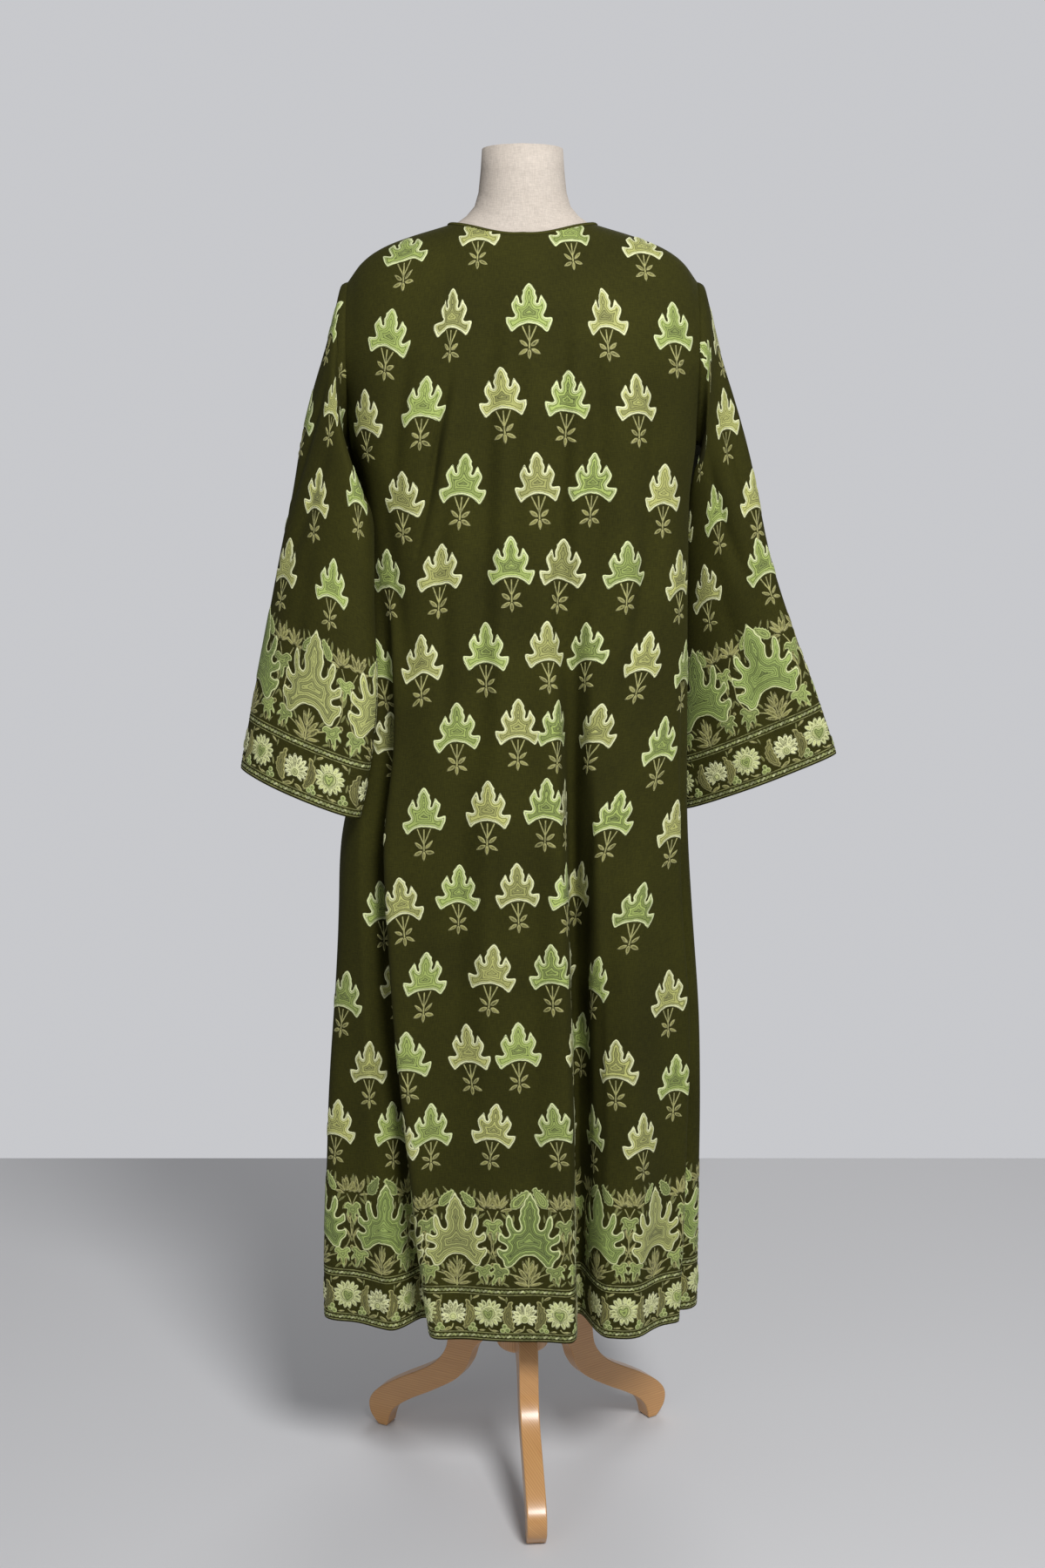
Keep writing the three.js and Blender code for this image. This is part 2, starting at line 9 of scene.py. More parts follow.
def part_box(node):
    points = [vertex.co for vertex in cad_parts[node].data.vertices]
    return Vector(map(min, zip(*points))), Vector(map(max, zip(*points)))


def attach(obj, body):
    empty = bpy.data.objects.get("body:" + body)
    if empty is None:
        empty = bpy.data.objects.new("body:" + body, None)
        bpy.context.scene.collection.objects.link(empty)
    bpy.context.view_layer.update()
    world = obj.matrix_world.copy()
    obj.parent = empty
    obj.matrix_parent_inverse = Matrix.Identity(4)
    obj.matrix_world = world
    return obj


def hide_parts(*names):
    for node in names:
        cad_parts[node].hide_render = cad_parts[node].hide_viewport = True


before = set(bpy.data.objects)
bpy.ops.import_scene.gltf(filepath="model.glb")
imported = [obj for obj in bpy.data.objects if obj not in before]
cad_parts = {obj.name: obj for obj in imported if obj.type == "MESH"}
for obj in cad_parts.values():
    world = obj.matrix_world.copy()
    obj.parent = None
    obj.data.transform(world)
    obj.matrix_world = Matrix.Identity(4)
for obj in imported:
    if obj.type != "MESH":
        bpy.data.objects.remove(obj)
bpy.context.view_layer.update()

POLE_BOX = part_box("stand_pole")
AXIS = np.array(((POLE_BOX[0] + POLE_BOX[1]) / 2)[:2])
MM = 0.001
random = np.random.default_rng(7)


def table(columns, *rows):
    """Columns of numbers by name."""
    return dict(zip(columns.split(), np.array(rows, float).T))


# The CAD's sizes, in millimetres from the floor and the stand's axis
HEM_Z, UNDERARM_Z = 242, 1372
ARMHOLE_X, ARMHOLE_BOW = 217, 28
NECK_HALF_WIDTH = 93
NECK_DEPTH = {"back": 60, "front": 104}
FACING = {"back": -1, "front": 1}
SHOULDER_ROUNDNESS, BODY_SQUARENESS = 2.2, 2.7
SLEEVE_HEAD_ROLL = 7
SEAM_GAP = 0.3
HUB_RADIUS, HUB_BASE_Z, HUB_TOP_Z = 35, 163, 262
POLE_RADIUS, FORM_BASE_Z = 15, 880
LEG_THICKNESS = 25.5
LEG_TURNS = {"front": -85.5, "right": 33.5, "left": 153.5}
CLOTH_THICKNESS = 1.2
SHOULDER_LINE = table(
    "x z", (0, 1655), (60, 1649), (95, 1639), (145, 1624), (178, 1610), (200, 1594), (217, 1572))
BODY = table(
    "z left right back front",
    (242, 248, 224, 152, 184), (350, 248, 226, 150, 178), (450, 247, 228, 149, 172),
    (550, 246, 229, 147, 167), (650, 243, 228, 144, 162), (780, 238, 219, 142, 156),
    (880, 232, 214, 137, 151), (1000, 206, 211, 132, 146), (1110, 201, 210, 127, 142),
    (1220, 199, 209, 123, 139), (1310, 202, 209, 120, 134), (1372, 217, 217, 117, 130))
# Hanging folds: place and half width in degrees, how flat the crest is, depth (out is plus), sideways
# lean, the heights where the fold begins and is whole, and how far round from its hem place it begins
FOLDS = table(
    "at width flat depth lean top full drift",
    (-68, 9, 2, 26, 0, 1000, 242, 0), (-27, 6.5, 3, -52, 0, 1300, 700, -34),
    (-19, 5, 2, 9, -9, 1300, 700, -34), (-2, 9, 2, 8, 0, 1150, 242, 0),
    (8, 4, 2, 12, 12, 1372, 650, -5), (14.5, 4.6, 3, -74, 0, 1372, 650, -5),
    (31, 9, 2, 16, 0, 1100, 242, 0), (56, 5, 2, 9, 4, 1150, 600, 6),
    (66, 5, 2.5, -24, 0, 1150, 600, 6), (80, 7, 2, 10, 0, 950, 242, 0),
    (98, 9, 2, -14, 0, 1000, 242, 0), (124, 9, 2, 16, 0, 1050, 242, 0),
    (146, 8, 2.5, -34, 0, 1150, 400, -6), (166, 10, 2, 14, 0, 1100, 242, 0),
    (192, 9, 2.5, -26, 0, 1150, 400, 4), (214, 9, 2, 14, 0, 1050, 242, 0),
    (236, 8, 2.5, -30, 0, 1100, 400, 6), (262, 8, 2, -10, 0, 900, 242, 0))
SLEEVES = {
    "left": table(
        "outX outY outZ inX inY inZ back front",
        (-231, -3, 1544, -224, -6, 1350, 54, 50), (-242, -8, 1500, -206, -44, 1320, 51, 38),
        (-255, -13, 1446, -186, -78, 1285, 48, 30), (-271, -18, 1380, -184, -87, 1236, 46, 31),
        (-287, -24, 1304, -184, -91, 1180, 45, 29), (-305, -28, 1222, -182, -97, 1116, 45, 28),
        (-322, -32, 1137, -183, -101, 1048, 45, 30), (-339, -36, 1050, -191, -104, 980, 45, 32),
        (-355, -40, 968, -205, -106, 912, 46, 34)),
    "right": table(
        "outX outY outZ inX inY inZ back front",
        (234, 0, 1540, 228, 8, 1350, 54, 50), (246, 2, 1494, 214, 40, 1318, 50, 46),
        (262, 5, 1440, 210, 61, 1280, 45, 43), (280, 8, 1372, 209, 68, 1232, 40, 41),
        (299, 11, 1296, 212, 72, 1176, 36, 39), (321, 14, 1216, 213, 78, 1112, 34, 37),
        (350, 16, 1132, 215, 82, 1042, 32, 36), (381, 18, 1050, 217, 85, 968, 31, 36),
        (409, 20, 975, 219, 87, 891, 30, 36)),
}
# The legs' outlines as distance from the axis and height. Many of the points come from a separate
# measuring script that carried places picked in the photo onto the left leg's plane
LEG_TOP_EDGE = [
    (HUB_RADIUS + SEAM_GAP, 250), (64, 245), (88, 226), (102, 198), (109, 165), (113, 140), (126, 119),
    (148, 101), (191, 76), (222, 55), (237, 36), (236, 16), (223, 0)]
LEG_UNDER_EDGE = [
    (209, 0), (205, 16), (198, 28), (186, 39), (165, 53), (137, 69), (98, 95), (80, 119),
    (71, 144), (56, 160), (HUB_RADIUS + SEAM_GAP, 170)]

# Soft creases: from one point of the cloth to another, in millimetres across and up, how wide and
# how deep, out is plus. Every depth is multiplied by CREASE_DEPTH
CREASE_DEPTH = 1.5
CREASES = {
    "back": table(
        "s0 t0 s1 t1 width depth",
        (-92, 1205, -132, 1010, 6, -5.0), (-78, 1215, -116, 1010, 9, 3.4),
        (-40, 1290, -62, 700, 15, -4.4), (-22, 1270, -36, 640, 12, 3.6), (48, 1300, 42, 860, 13, -4.0),
        (64, 1280, 66, 900, 11, 3.4), (92, 1260, 84, 900, 12, -4.2), (118, 1230, 132, 720, 15, 3.8),
        (8, 1300, 4, 1000, 12, 3.0), (160, 1200, 150, 760, 13, -4.0),
        (-150, 1260, -168, 1080, 12, -4.0), (158, 1255, 172, 1060, 12, -4.0),
        (-185, 1080, -150, 860, 14, -3.4), (185, 1070, 150, 900, 14, -3.4), (-110, 1180, -96, 700, 13, -3.6),
        (-20, 900, -30, 250, 20, 4.0), (-75, 820, -92, 300, 15, -4.2), (-48, 780, -52, 260, 12, 3.4),
        (150, 700, 176, 180, 18, -3.6), (-250, 600, -270, 60, 16, -3.6),
        (12, 620, 6, 40, 16, -3.4), (240, 640, 262, 120, 16, 3.2), (210, 700, 216, 160, 13, -3.4)),
    "front": table(
        "s0 t0 s1 t1 width depth",
        (-90, 1190, -120, 900, 9, -2.6), (84, 1200, 110, 880, 10, -2.6),
        (-30, 1120, -50, 560, 16, -2.4), (40, 1130, 62, 500, 16, -2.4),
        (-150, 1220, -170, 1040, 12, -2.6), (158, 1215, 172, 1030, 12, -2.6),
        (-185, 1080, -140, 820, 14, -2.2), (185, 1070, 142, 800, 14, -2.2),
        (10, 640, 16, 60, 20, 2.2), (-120, 700, -160, 100, 18, -2.6),
        (140, 690, 190, 120, 18, -2.6), (-240, 560, -270, 80, 16, 2.2)),
    "left": table(
        "s0 t0 s1 t1 width depth",
        (60, 500, 20, 330, 10, -3.2), (100, 430, 40, 250, 12, -3.0), (20, 520, -20, 300, 12, 2.4),
        (-60, 500, -10, 320, 10, -3.0), (-100, 430, -50, 220, 12, -2.6), (90, 300, 80, 60, 14, -2.4),
        (-80, 280, -90, 70, 14, -2.4)),
    "right": table(
        "s0 t0 s1 t1 width depth",
        (-60, 500, -24, 320, 10, -3.2), (-100, 430, -36, 230, 12, -3.0), (-16, 520, 16, 300, 12, 2.4),
        (60, 500, 16, 330, 10, -3.0), (100, 430, 46, 220, 12, -2.6), (-96, 300, -70, 60, 14, -2.4),
        (84, 280, 90, 70, 14, -2.4)),
}


# Number and curve helpers

def signed_power(value, power):
    return np.sign(value) * np.abs(value) ** power


def smooth_step(value, low, high):
    share = np.clip((value - low) / (high - low), 0, 1)
    return share * share * (3 - 2 * share)


def unit(vectors):
    return vectors / np.maximum(np.linalg.norm(vectors, axis=-1, keepdims=True), 1e-12)


def curve(keys, values, at):
    """Values at places between the keys, on a smooth curve."""
    at = np.asarray(at, float)
    last = len(keys) - 1
    place = np.clip(at, keys[0], keys[-1])
    i = np.clip(np.searchsorted(keys, place) - 1, 0, last - 1)
    wide = at.shape + (1,) * (values.ndim - 1)

    def slope(a, b):
        return (values[b] - values[a]) / (keys[b] - keys[a]).reshape(wide)

    span = (keys[i + 1] - keys[i]).reshape(wide)
    start = slope(np.maximum(0, i - 1), i + 1) * span
    end = slope(i, np.minimum(last, i + 2)) * span
    share = ((place - keys[i]) / (keys[i + 1] - keys[i])).reshape(wide)
    rise = share * share * (3 - 2 * share)
    bend = start * share * (1 - share) ** 2 - end * share * share * (1 - share)
    return values[i] * (1 - rise) + values[i + 1] * rise + bend


def along(rows, key, at, column):
    return curve(rows[key], rows[column], at)


def round_curve(points, parts, closed=True):
    """A smooth line through points, with parts steps between each two."""
    points = np.array(points, float)
    count = len(points)
    get = (lambda i: points[i % count]) if closed else (lambda i: points[min(max(i, 0), count - 1)])
    line = []
    for i in range(count if closed else count - 1):
        a, b, c, d = get(i - 1), get(i), get(i + 1), get(i + 2)
        for share in np.arange(parts) / parts:
            line.append(b + share * ((c - a) + share * ((2 * a - 5 * b + 4 * c - d)
                        + share * (3 * b - 3 * c + d - a))) / 2)
    if not closed:
        line.append(points[-1])
    return np.array(line)


# The garment's surfaces

def skirt_points(turn, z):
    sin, cos = np.sin(turn), np.cos(turn)
    half = np.where(sin < 0, along(BODY, "z", z, "left"), along(BODY, "z", z, "right"))
    depth = np.where(cos > 0, along(BODY, "z", z, "back"), along(BODY, "z", z, "front"))
    x = half * signed_power(sin, 2 / BODY_SQUARENESS)
    y = -depth * signed_power(cos, 2 / BODY_SQUARENESS)
    power = BODY_SQUARENESS - 1
    out = unit(np.stack([signed_power(x / half, power) / half, signed_power(y / depth, power) / depth], -1))
    aside = np.stack([-out[..., 1], out[..., 0]], -1)
    point = np.stack([x, y], -1)
    degrees = np.degrees(turn)
    for at, width, flat, depth, lean, top, full, drift in zip(*FOLDS.values()):
        away = (degrees - at - drift * (z - HEM_Z) / (top - HEM_Z) + 180) % 360 - 180
        share = np.exp(-np.abs(away / width) ** flat) * smooth_step(top - z, 0, top - full)
        point = point + out * (depth * share)[..., None] + aside * (lean * share)[..., None]
    return np.concatenate([point, np.broadcast_to(z, x.shape)[..., None]], -1)


def cap_points(side, across, rise):
    edge_turn = np.radians(90 - ARMHOLE_BOW * np.sin(np.pi * rise))
    half = ARMHOLE_X / np.sin(edge_turn) ** (2 / BODY_SQUARENESS)
    x = ARMHOLE_X * signed_power(np.sin(across * np.pi / 2), 2 / BODY_SQUARENESS)
    narrowing = np.maximum(0, 1 - (np.abs(x) / half) ** BODY_SQUARENESS) ** (1 / BODY_SQUARENESS)
    depth = np.maximum(1e-6, BODY[side][-1] * narrowing)
    near = np.minimum(np.abs(x), NECK_HALF_WIDTH)
    neck_y = NECK_DEPTH[side] * np.sqrt(1 - (near / NECK_HALF_WIDTH) ** 2)
    end = np.arccos(np.minimum(1, (neck_y / depth) ** (SHOULDER_ROUNDNESS / 2)))
    arc = rise * np.where(np.abs(x) < NECK_HALF_WIDTH, end, np.pi / 2)
    top = along(SHOULDER_LINE, "x", np.abs(x), "z") - UNDERARM_Z
    y = FACING[side] * depth * np.maximum(0, np.cos(arc)) ** (2 / SHOULDER_ROUNDNESS)
    z = UNDERARM_Z + top * np.sin(arc) ** (2 / SHOULDER_ROUNDNESS)
    return np.stack(np.broadcast_arrays(x, y, z), -1)


def panel_points(side, across, up):
    across, up = np.broadcast_arrays(across, up)
    turn = across * np.pi / 2
    height = UNDERARM_Z + np.minimum(0, up) * (UNDERARM_Z - HEM_Z)
    low = skirt_points(turn if side == "back" else np.pi - turn, height)
    high = cap_points(side, across, np.clip(up, 0, 1))
    return np.where((up <= 0)[..., None], low, high)


def soften(points, passes):
    """Evens out the rows of a grid of points, leaving its edges in place."""
    for _ in range(passes):
        points[1:-1, 1:-1] += 0.5 * ((points[:-2, 1:-1] + points[2:, 1:-1]) / 2 - points[1:-1, 1:-1])
    return points


class Cloth:
    """A piece of cloth as rows of points. On it, in millimetres, s runs across from the middle and
    t up from the lower edge; s, t and the outward direction make a right-handed frame."""

    def __init__(self, name, points):
        self.name = name
        middle = points.shape[1] // 2
        s = np.cumsum(np.linalg.norm(np.diff(points, axis=1, prepend=points[:, :1]), axis=2), axis=1)
        self.s = s - s[:, middle:middle + 1]
        self.t = np.cumsum(np.linalg.norm(np.diff(points, axis=0, prepend=points[:1]), axis=2), axis=0)
        self.points = points
        self.find_outward()
        self.points = points + self.out * self.relief()[..., None]
        self.find_outward()

    def find_outward(self):
        self.out = unit(np.cross(np.gradient(self.points, axis=1), np.gradient(self.points, axis=0)))

    def relief(self):
        """How far creases and unevenness move the cloth out."""
        s, t = self.s, self.t
        height = 0.7 * np.sin(s / 31 + 1.7 * np.sin(t / 190)) + 0.5 * np.sin(s / 17 + t / 240 + 2)
        height += 0.4 * np.sin(t / 47 + np.sin(s / 60) * 2)
        for s0, t0, s1, t1, width, depth in zip(*CREASES[self.name].values()):
            run = np.array([s1 - s0, t1 - t0])
            share = np.clip(((s - s0) * run[0] + (t - t0) * run[1]) / (run @ run), 0, 1)
            away = np.hypot(s - s0 - share * run[0], t - t0 - share * run[1])
            fade = np.sin(np.pi * np.clip(share, 0.02, 0.98)) ** 0.5
            height += CREASE_DEPTH * depth * np.exp(-(away / width) ** 2) * fade
        reach = np.minimum(np.abs(self.s - self.s[:, :1]), np.abs(self.s - self.s[:, -1:]))
        return height * smooth_step(reach, 0, 18) * smooth_step(self.t[-1:] - t, 0, 25)

    def sample(self, field, r, c):
        i = np.clip(r.astype(int), 0, field.shape[0] - 2)
        j = np.clip(c.astype(int), 0, field.shape[1] - 2)
        u, v = r - i, c - j
        if field.ndim == 3:
            u, v = u[:, None], v[:, None]
        return ((field[i, j] * (1 - v) + field[i, j + 1] * v) * (1 - u)
                + (field[i + 1, j] * (1 - v) + field[i + 1, j + 1] * v) * u)

    def locate(self, s, t):
        """Row and column of places on the cloth, and which of them are on it."""
        rows, columns = self.s.shape

        def seek(value_at, wanted, count):
            low, high = np.zeros(len(wanted)), np.full(len(wanted), count - 1.0)
            for _ in range(16):
                middle = (low + high) / 2
                less = value_at(middle) < wanted
                low, high = np.where(less, middle, low), np.where(less, high, middle)
            return (low + high) / 2

        r = np.full(len(s), rows / 2)
        for _ in range(5):
            c = seek(lambda c: self.sample(self.s, r, c), s, columns)
            r = seek(lambda r: self.sample(self.t, r, c), t, rows)
        c = seek(lambda c: self.sample(self.s, r, c), s, columns)
        off = np.hypot(self.sample(self.s, r, c) - s, self.sample(self.t, r, c) - t)
        return r, c, off < 0.6

    def place(self, s, t, lift):
        r, c, on = self.locate(s, t)
        out = unit(self.sample(self.out, r, c))
        return self.sample(self.points, r, c) + out * (lift + CLOTH_THICKNESS / 2)[:, None], on


def panel(side, columns, rows):
    fine = np.linspace(-1, 1, 2401)
    hem = panel_points(side, fine, np.full(fine.shape, -1.0))
    length = np.cumsum(np.linalg.norm(np.diff(hem, axis=0, prepend=hem[:1]), axis=1))
    across = np.interp(np.linspace(0, length[-1], columns // 2 * 2 + 1), length, fine)
    across -= across[columns // 2] * (1 - np.abs(across))
    up = np.concatenate([np.linspace(-1, 0, rows * 3 // 4, endpoint=False), np.linspace(0, 1, rows // 4 + 1)])
    if side == "front":
        across = -across
    points = panel_points(side, across[None, :], up[:, None])
    seam = FACING[side] * SEAM_GAP / 2
    points[:, [0, -1], 1] += np.where(up <= 0, seam, 0)[:, None]
    return Cloth(side, soften(points, 4))


def sleeve(hand, columns, rows):
    sections = SLEEVES[hand]
    sign = -1 if hand == "left" else 1
    turn = np.linspace(-np.pi, np.pi, columns // 2 * 2 + 1) * -sign
    up = 1 - np.abs(turn) / np.pi
    edge = {side: cap_points(side, np.full(up.shape, float(sign)), up) for side in FACING}
    inside = {side: cap_points(side, np.full(up.shape, sign * 0.99), up) for side in FACING}
    is_back = (turn > 0)[:, None]
    head = np.where(is_back, edge["back"], edge["front"])
    away = unit(head - np.where(is_back, inside["back"], inside["front"]))
    head = head + away * 0.4
    rings = [head, head + [sign * SLEEVE_HEAD_ROLL, 0, 0]]
    for k in range(len(sections["outX"])):
        outer = np.array([sections[c][k] for c in ("outX", "outY", "outZ")])
        inner = np.array([sections[c][k] for c in ("inX", "inY", "inZ")])
        centre, reach = (outer + inner) / 2, (outer - inner) / 2
        back = unit(np.array([0, -1, 0]) + reach * reach[1] / (reach @ reach))
        depth = np.where(turn > 0, sections["back"][k], sections["front"][k])
        rings.append(centre + reach * np.cos(turn)[:, None] + back * (depth * np.sin(turn))[:, None])
    rings = np.array(rings[::-1])
    keys = np.cumsum(np.linalg.norm(np.diff(rings, axis=0, prepend=rings[:1]), axis=2).mean(1))
    points = curve(keys, rings, np.linspace(0, keys[-1], rows))
    return Cloth(hand, soften(points, 3))


# Meshes

def in_frame(points):
    """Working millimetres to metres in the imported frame."""
    return (np.asarray(points, float) * MM) + [AXIS[0], AXIS[1], 0]


def linear(code):
    channels = [int(code[i:i + 2], 16) / 255 for i in (1, 3, 5)]
    return [c / 12.92 if c <= 0.04045 else ((c + 0.055) / 1.055) ** 2.4 for c in channels] + [1.0]


def make_object(name, points, faces, material, uv=None, fields=None):
    mesh = bpy.data.meshes.new(name)
    mesh.from_pydata(points.tolist(), [], [list(face) for face in faces])
    mesh.materials.append(material)
    mesh.shade_smooth()
    if uv is not None:
        corners = np.zeros(len(mesh.loops), int)
        mesh.loops.foreach_get("vertex_index", corners)
        mesh.uv_layers.new(name="cloth").data.foreach_set("uv", np.asarray(uv, float)[corners].ravel())
    for field, values in (fields or {}).items():
        is_colour = values.ndim == 2
        layer = mesh.attributes.new(field, "FLOAT_COLOR" if is_colour else "FLOAT", "POINT")
        layer.data.foreach_set("color" if is_colour else "value", values.ravel().astype(np.float32))
    mesh.update()
    made = bpy.data.objects.new(name, mesh)
    bpy.context.scene.collection.objects.link(made)
    return made


def grid_faces(rows, columns, start=0, flip=False):
    i, j = np.meshgrid(np.arange(rows - 1), np.arange(columns - 1), indexing="ij")
    a = (start + i * columns + j).ravel()
    quads = np.stack([a, a + 1, a + columns + 1, a + columns], 1)
    return quads[:, ::-1] if flip else quads


def cloth_object(name, cloth, material, nodes):
    """The cloth with both of its sides and its edges."""
    rows, columns = cloth.s.shape
    count = rows * columns
    sides = [cloth.points + cloth.out * (share * CLOTH_THICKNESS / 2) for share in (1, -1)]
    number = np.arange(count).reshape(rows, columns)
    rim = np.concatenate([number[0, :], number[1:, -1], number[-1, -2::-1], number[-2:0:-1, 0]])
    following = np.roll(rim, -1)
    faces = np.concatenate([
        grid_faces(rows, columns),
        grid_faces(rows, columns, count, True),
        np.stack([following, rim, rim + count, following + count], 1),
    ])
    uv = np.stack([cloth.s.ravel(), cloth.t.ravel()], 1) * MM
    inner = np.concatenate([np.zeros(count), np.ones(count)])
    points = in_frame(np.concatenate([side.reshape(-1, 3) for side in sides]))
    made = make_object(name, points, faces, material, np.concatenate([uv, uv]), {"wrong_side": inner})
    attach(made, "root")
    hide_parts(*nodes)
    return made


# Materials

def add(tree, kind, settings=(), inputs=(), output=0):
    """Adds a shader node with its settings and links and gives one of its outputs. An input takes a
    constant or another node's output."""
    node = tree.nodes.new("ShaderNode" + kind)
    for key, value in dict(settings).items():
        setattr(node, key, value)
    for key, value in dict(inputs).items():
        if isinstance(value, bpy.types.NodeSocket):
            tree.links.new(value, node.inputs[key])
        else:
            node.inputs[key].default_value = value
    return node.outputs[output]


def new_material(name, **constants):
    material = bpy.data.materials.new(name)
    material.use_nodes = True
    tree = material.node_tree
    shader = tree.nodes["Principled BSDF"]
    for key, value in constants.items():
        shader.inputs[key.replace("_", " ")].default_value = value
    return material, tree, shader


def repeats(size):
    """How often a pattern of this size in millimetres comes in a metre."""
    return 1 / (size * MM)


# Settings of the nodes that work with numbers and colours
SUM, DIFFERENCE, PRODUCT, QUOTIENT, SCALED_SUM = (
    {"operation": word} for word in ("ADD", "SUBTRACT", "MULTIPLY", "DIVIDE", "MULTIPLY_ADD"))
BLEND = {"data_type": "RGBA", "blend_type": "MIX"}
TINT = {"data_type": "RGBA", "blend_type": "MULTIPLY"}


def cloth_material(name, face, shade, back):
    """Piece-dyed wool crepe: dull and slightly uneven in tone, with a fine grain. Its threads, in truth
    about half a millimetre apart, are drawn 1.11 mm apart so that they show."""
    material, tree, shader = new_material(name, Roughness=0.9, Sheen_Weight=0.08, Sheen_Roughness=0.5)
    shader.inputs["Specular IOR Level"].default_value = 0.15
    shader.inputs["Sheen Tint"].default_value = linear("#6e6d33")
    where = add(tree, "UVMap")
    cloud = add(tree, "TexNoise", {}, {"Vector": where, "Scale": repeats(111), "Detail": 3.0})
    tone = add(tree, "MapRange", {}, {0: cloud, 1: 0.3, 2: 0.7})
    colour = add(tree, "Mix", BLEND, {0: tone, 6: linear(shade), 7: linear(face)}, 2)
    threads = []
    for stretch in ((1.0, 0.12, 1.0), (0.12, 1.0, 1.0)):
        drawn_out = add(tree, "Mapping", {}, {"Vector": where, "Scale": stretch})
        fine = {"Vector": drawn_out, "Scale": repeats(1.11), "Detail": 2.0}
        threads.append(add(tree, "TexNoise", {}, fine))
    weave = add(tree, "Math", SUM, {0: threads[0], 1: threads[1]})
    fleck = add(tree, "MapRange", {}, {0: weave, 1: 0.75, 2: 1.25, 3: 0.8, 4: 1.2})
    colour = add(tree, "Mix", TINT, {0: 1.0, 6: colour, 7: fleck}, 2)
    wrong = add(tree, "Attribute", {"attribute_name": "wrong_side"}, {}, "Fac")
    colour = add(tree, "Mix", BLEND, {0: wrong, 6: colour, 7: linear(back)}, 2)
    tree.links.new(colour, shader.inputs["Base Color"])
    grain = add(tree, "Bump", {}, {"Height": weave, "Distance": 0.3 * MM, "Strength": 0.6})
    tree.links.new(grain, shader.inputs["Normal"])
    return material


def thread_material(name, pitch):
    """Twisted wool thread in rows of chain stitch that follow each shape's edge, one every pitch
    millimetres: soft, with painted shade in the grooves between the rows and a tone of its own for each row."""
    material, tree, shader = new_material(name, Roughness=0.65, Sheen_Weight=0.08, Sheen_Roughness=0.4)
    shader.inputs["Specular IOR Level"].default_value = 0.3
    value = {key: add(tree, "Attribute", {"attribute_name": key}, {}, "Fac")
             for key in ("edge", "seed", "rim_width")}
    ink = {key: add(tree, "Attribute", {"attribute_name": key}, {}, "Color")
           for key in ("fill", "rim")}
    where = add(tree, "UVMap")
    waver = add(tree, "TexNoise", {}, {"Vector": where, "Scale": repeats(7.7), "Detail": 1.5})
    edge = add(tree, "Math", SCALED_SUM, {0: waver, 1: 3.0, 2: value["edge"]})
    depth = add(tree, "Math", DIFFERENCE, {0: edge, 1: 1.5})
    rows = add(tree, "Math", QUOTIENT, {0: depth, 1: pitch})
    part = add(tree, "Math", {"operation": "FRACT"}, {0: rows})
    index = add(tree, "Math", {"operation": "FLOOR"}, {0: rows})
    across = add(tree, "Math", SCALED_SUM, {0: part, 1: 2.0, 2: -1.0})
    bow = add(tree, "Math", {"operation": "ABSOLUTE"}, {0: across})
    fall = add(tree, "Math", {"operation": "POWER"}, {0: bow, 1: 2.5})
    swell = add(tree, "Math", DIFFERENCE, {0: 1.0, 1: fall})
    key = add(tree, "Math", SCALED_SUM, {0: value["seed"], 1: 61.7, 2: index})
    chance = add(tree, "TexWhiteNoise", {"noise_dimensions": "1D"}, {"W": key}, "Value")
    tone = add(tree, "MapRange", {}, {0: chance, 3: 0.58, 4: 1.36})
    middle = add(tree, "MapRange", {}, {0: value["edge"], 1: 3.0, 2: 11.0, 3: 1.06, 4: 0.84})
    tone = add(tree, "Math", PRODUCT, {0: tone, 1: middle})
    colour = add(tree, "Mix", TINT, {0: 1.0, 6: ink["fill"], 7: tone}, 2)
    past_rim = add(tree, "Math", DIFFERENCE, {0: depth, 1: value["rim_width"]})
    is_rim = add(tree, "MapRange", {}, {0: past_rim, 1: -0.3, 2: 0.3, 3: 1.0, 4: 0.0})
    colour = add(tree, "Mix", BLEND, {0: is_rim, 6: colour, 7: ink["rim"]}, 2)
    fibre = add(tree, "TexNoise", {}, {"Vector": where, "Scale": repeats(0.714), "Detail": 2.0})
    light = add(tree, "MapRange", {}, {0: fibre, 1: 0.3, 2: 0.7, 3: 0.8, 4: 1.12})
    # Painted shade: the colour darkens towards the groove between each two rows, down to 0.3 of it; the fibre
    # flecks are the thread's own uneven tone
    painted_groove_shade = add(tree, "MapRange", {}, {0: swell, 1: 0.0, 2: 0.85, 3: 0.3, 4: 1.06})
    fibre_tone_and_groove_shade = add(tree, "Math", PRODUCT, {0: light, 1: painted_groove_shade})
    colour = add(tree, "Mix", TINT, {0: 1.0, 6: colour, 7: fibre_tone_and_groove_shade}, 2)
    tree.links.new(colour, shader.inputs["Base Color"])
    height = add(tree, "Math", SCALED_SUM, {0: fibre, 1: 0.5, 2: swell})
    raised = add(tree, "Bump", {}, {"Height": height, "Distance": 0.6 * MM, "Strength": 0.9})
    tree.links.new(raised, shader.inputs["Normal"])
    return material


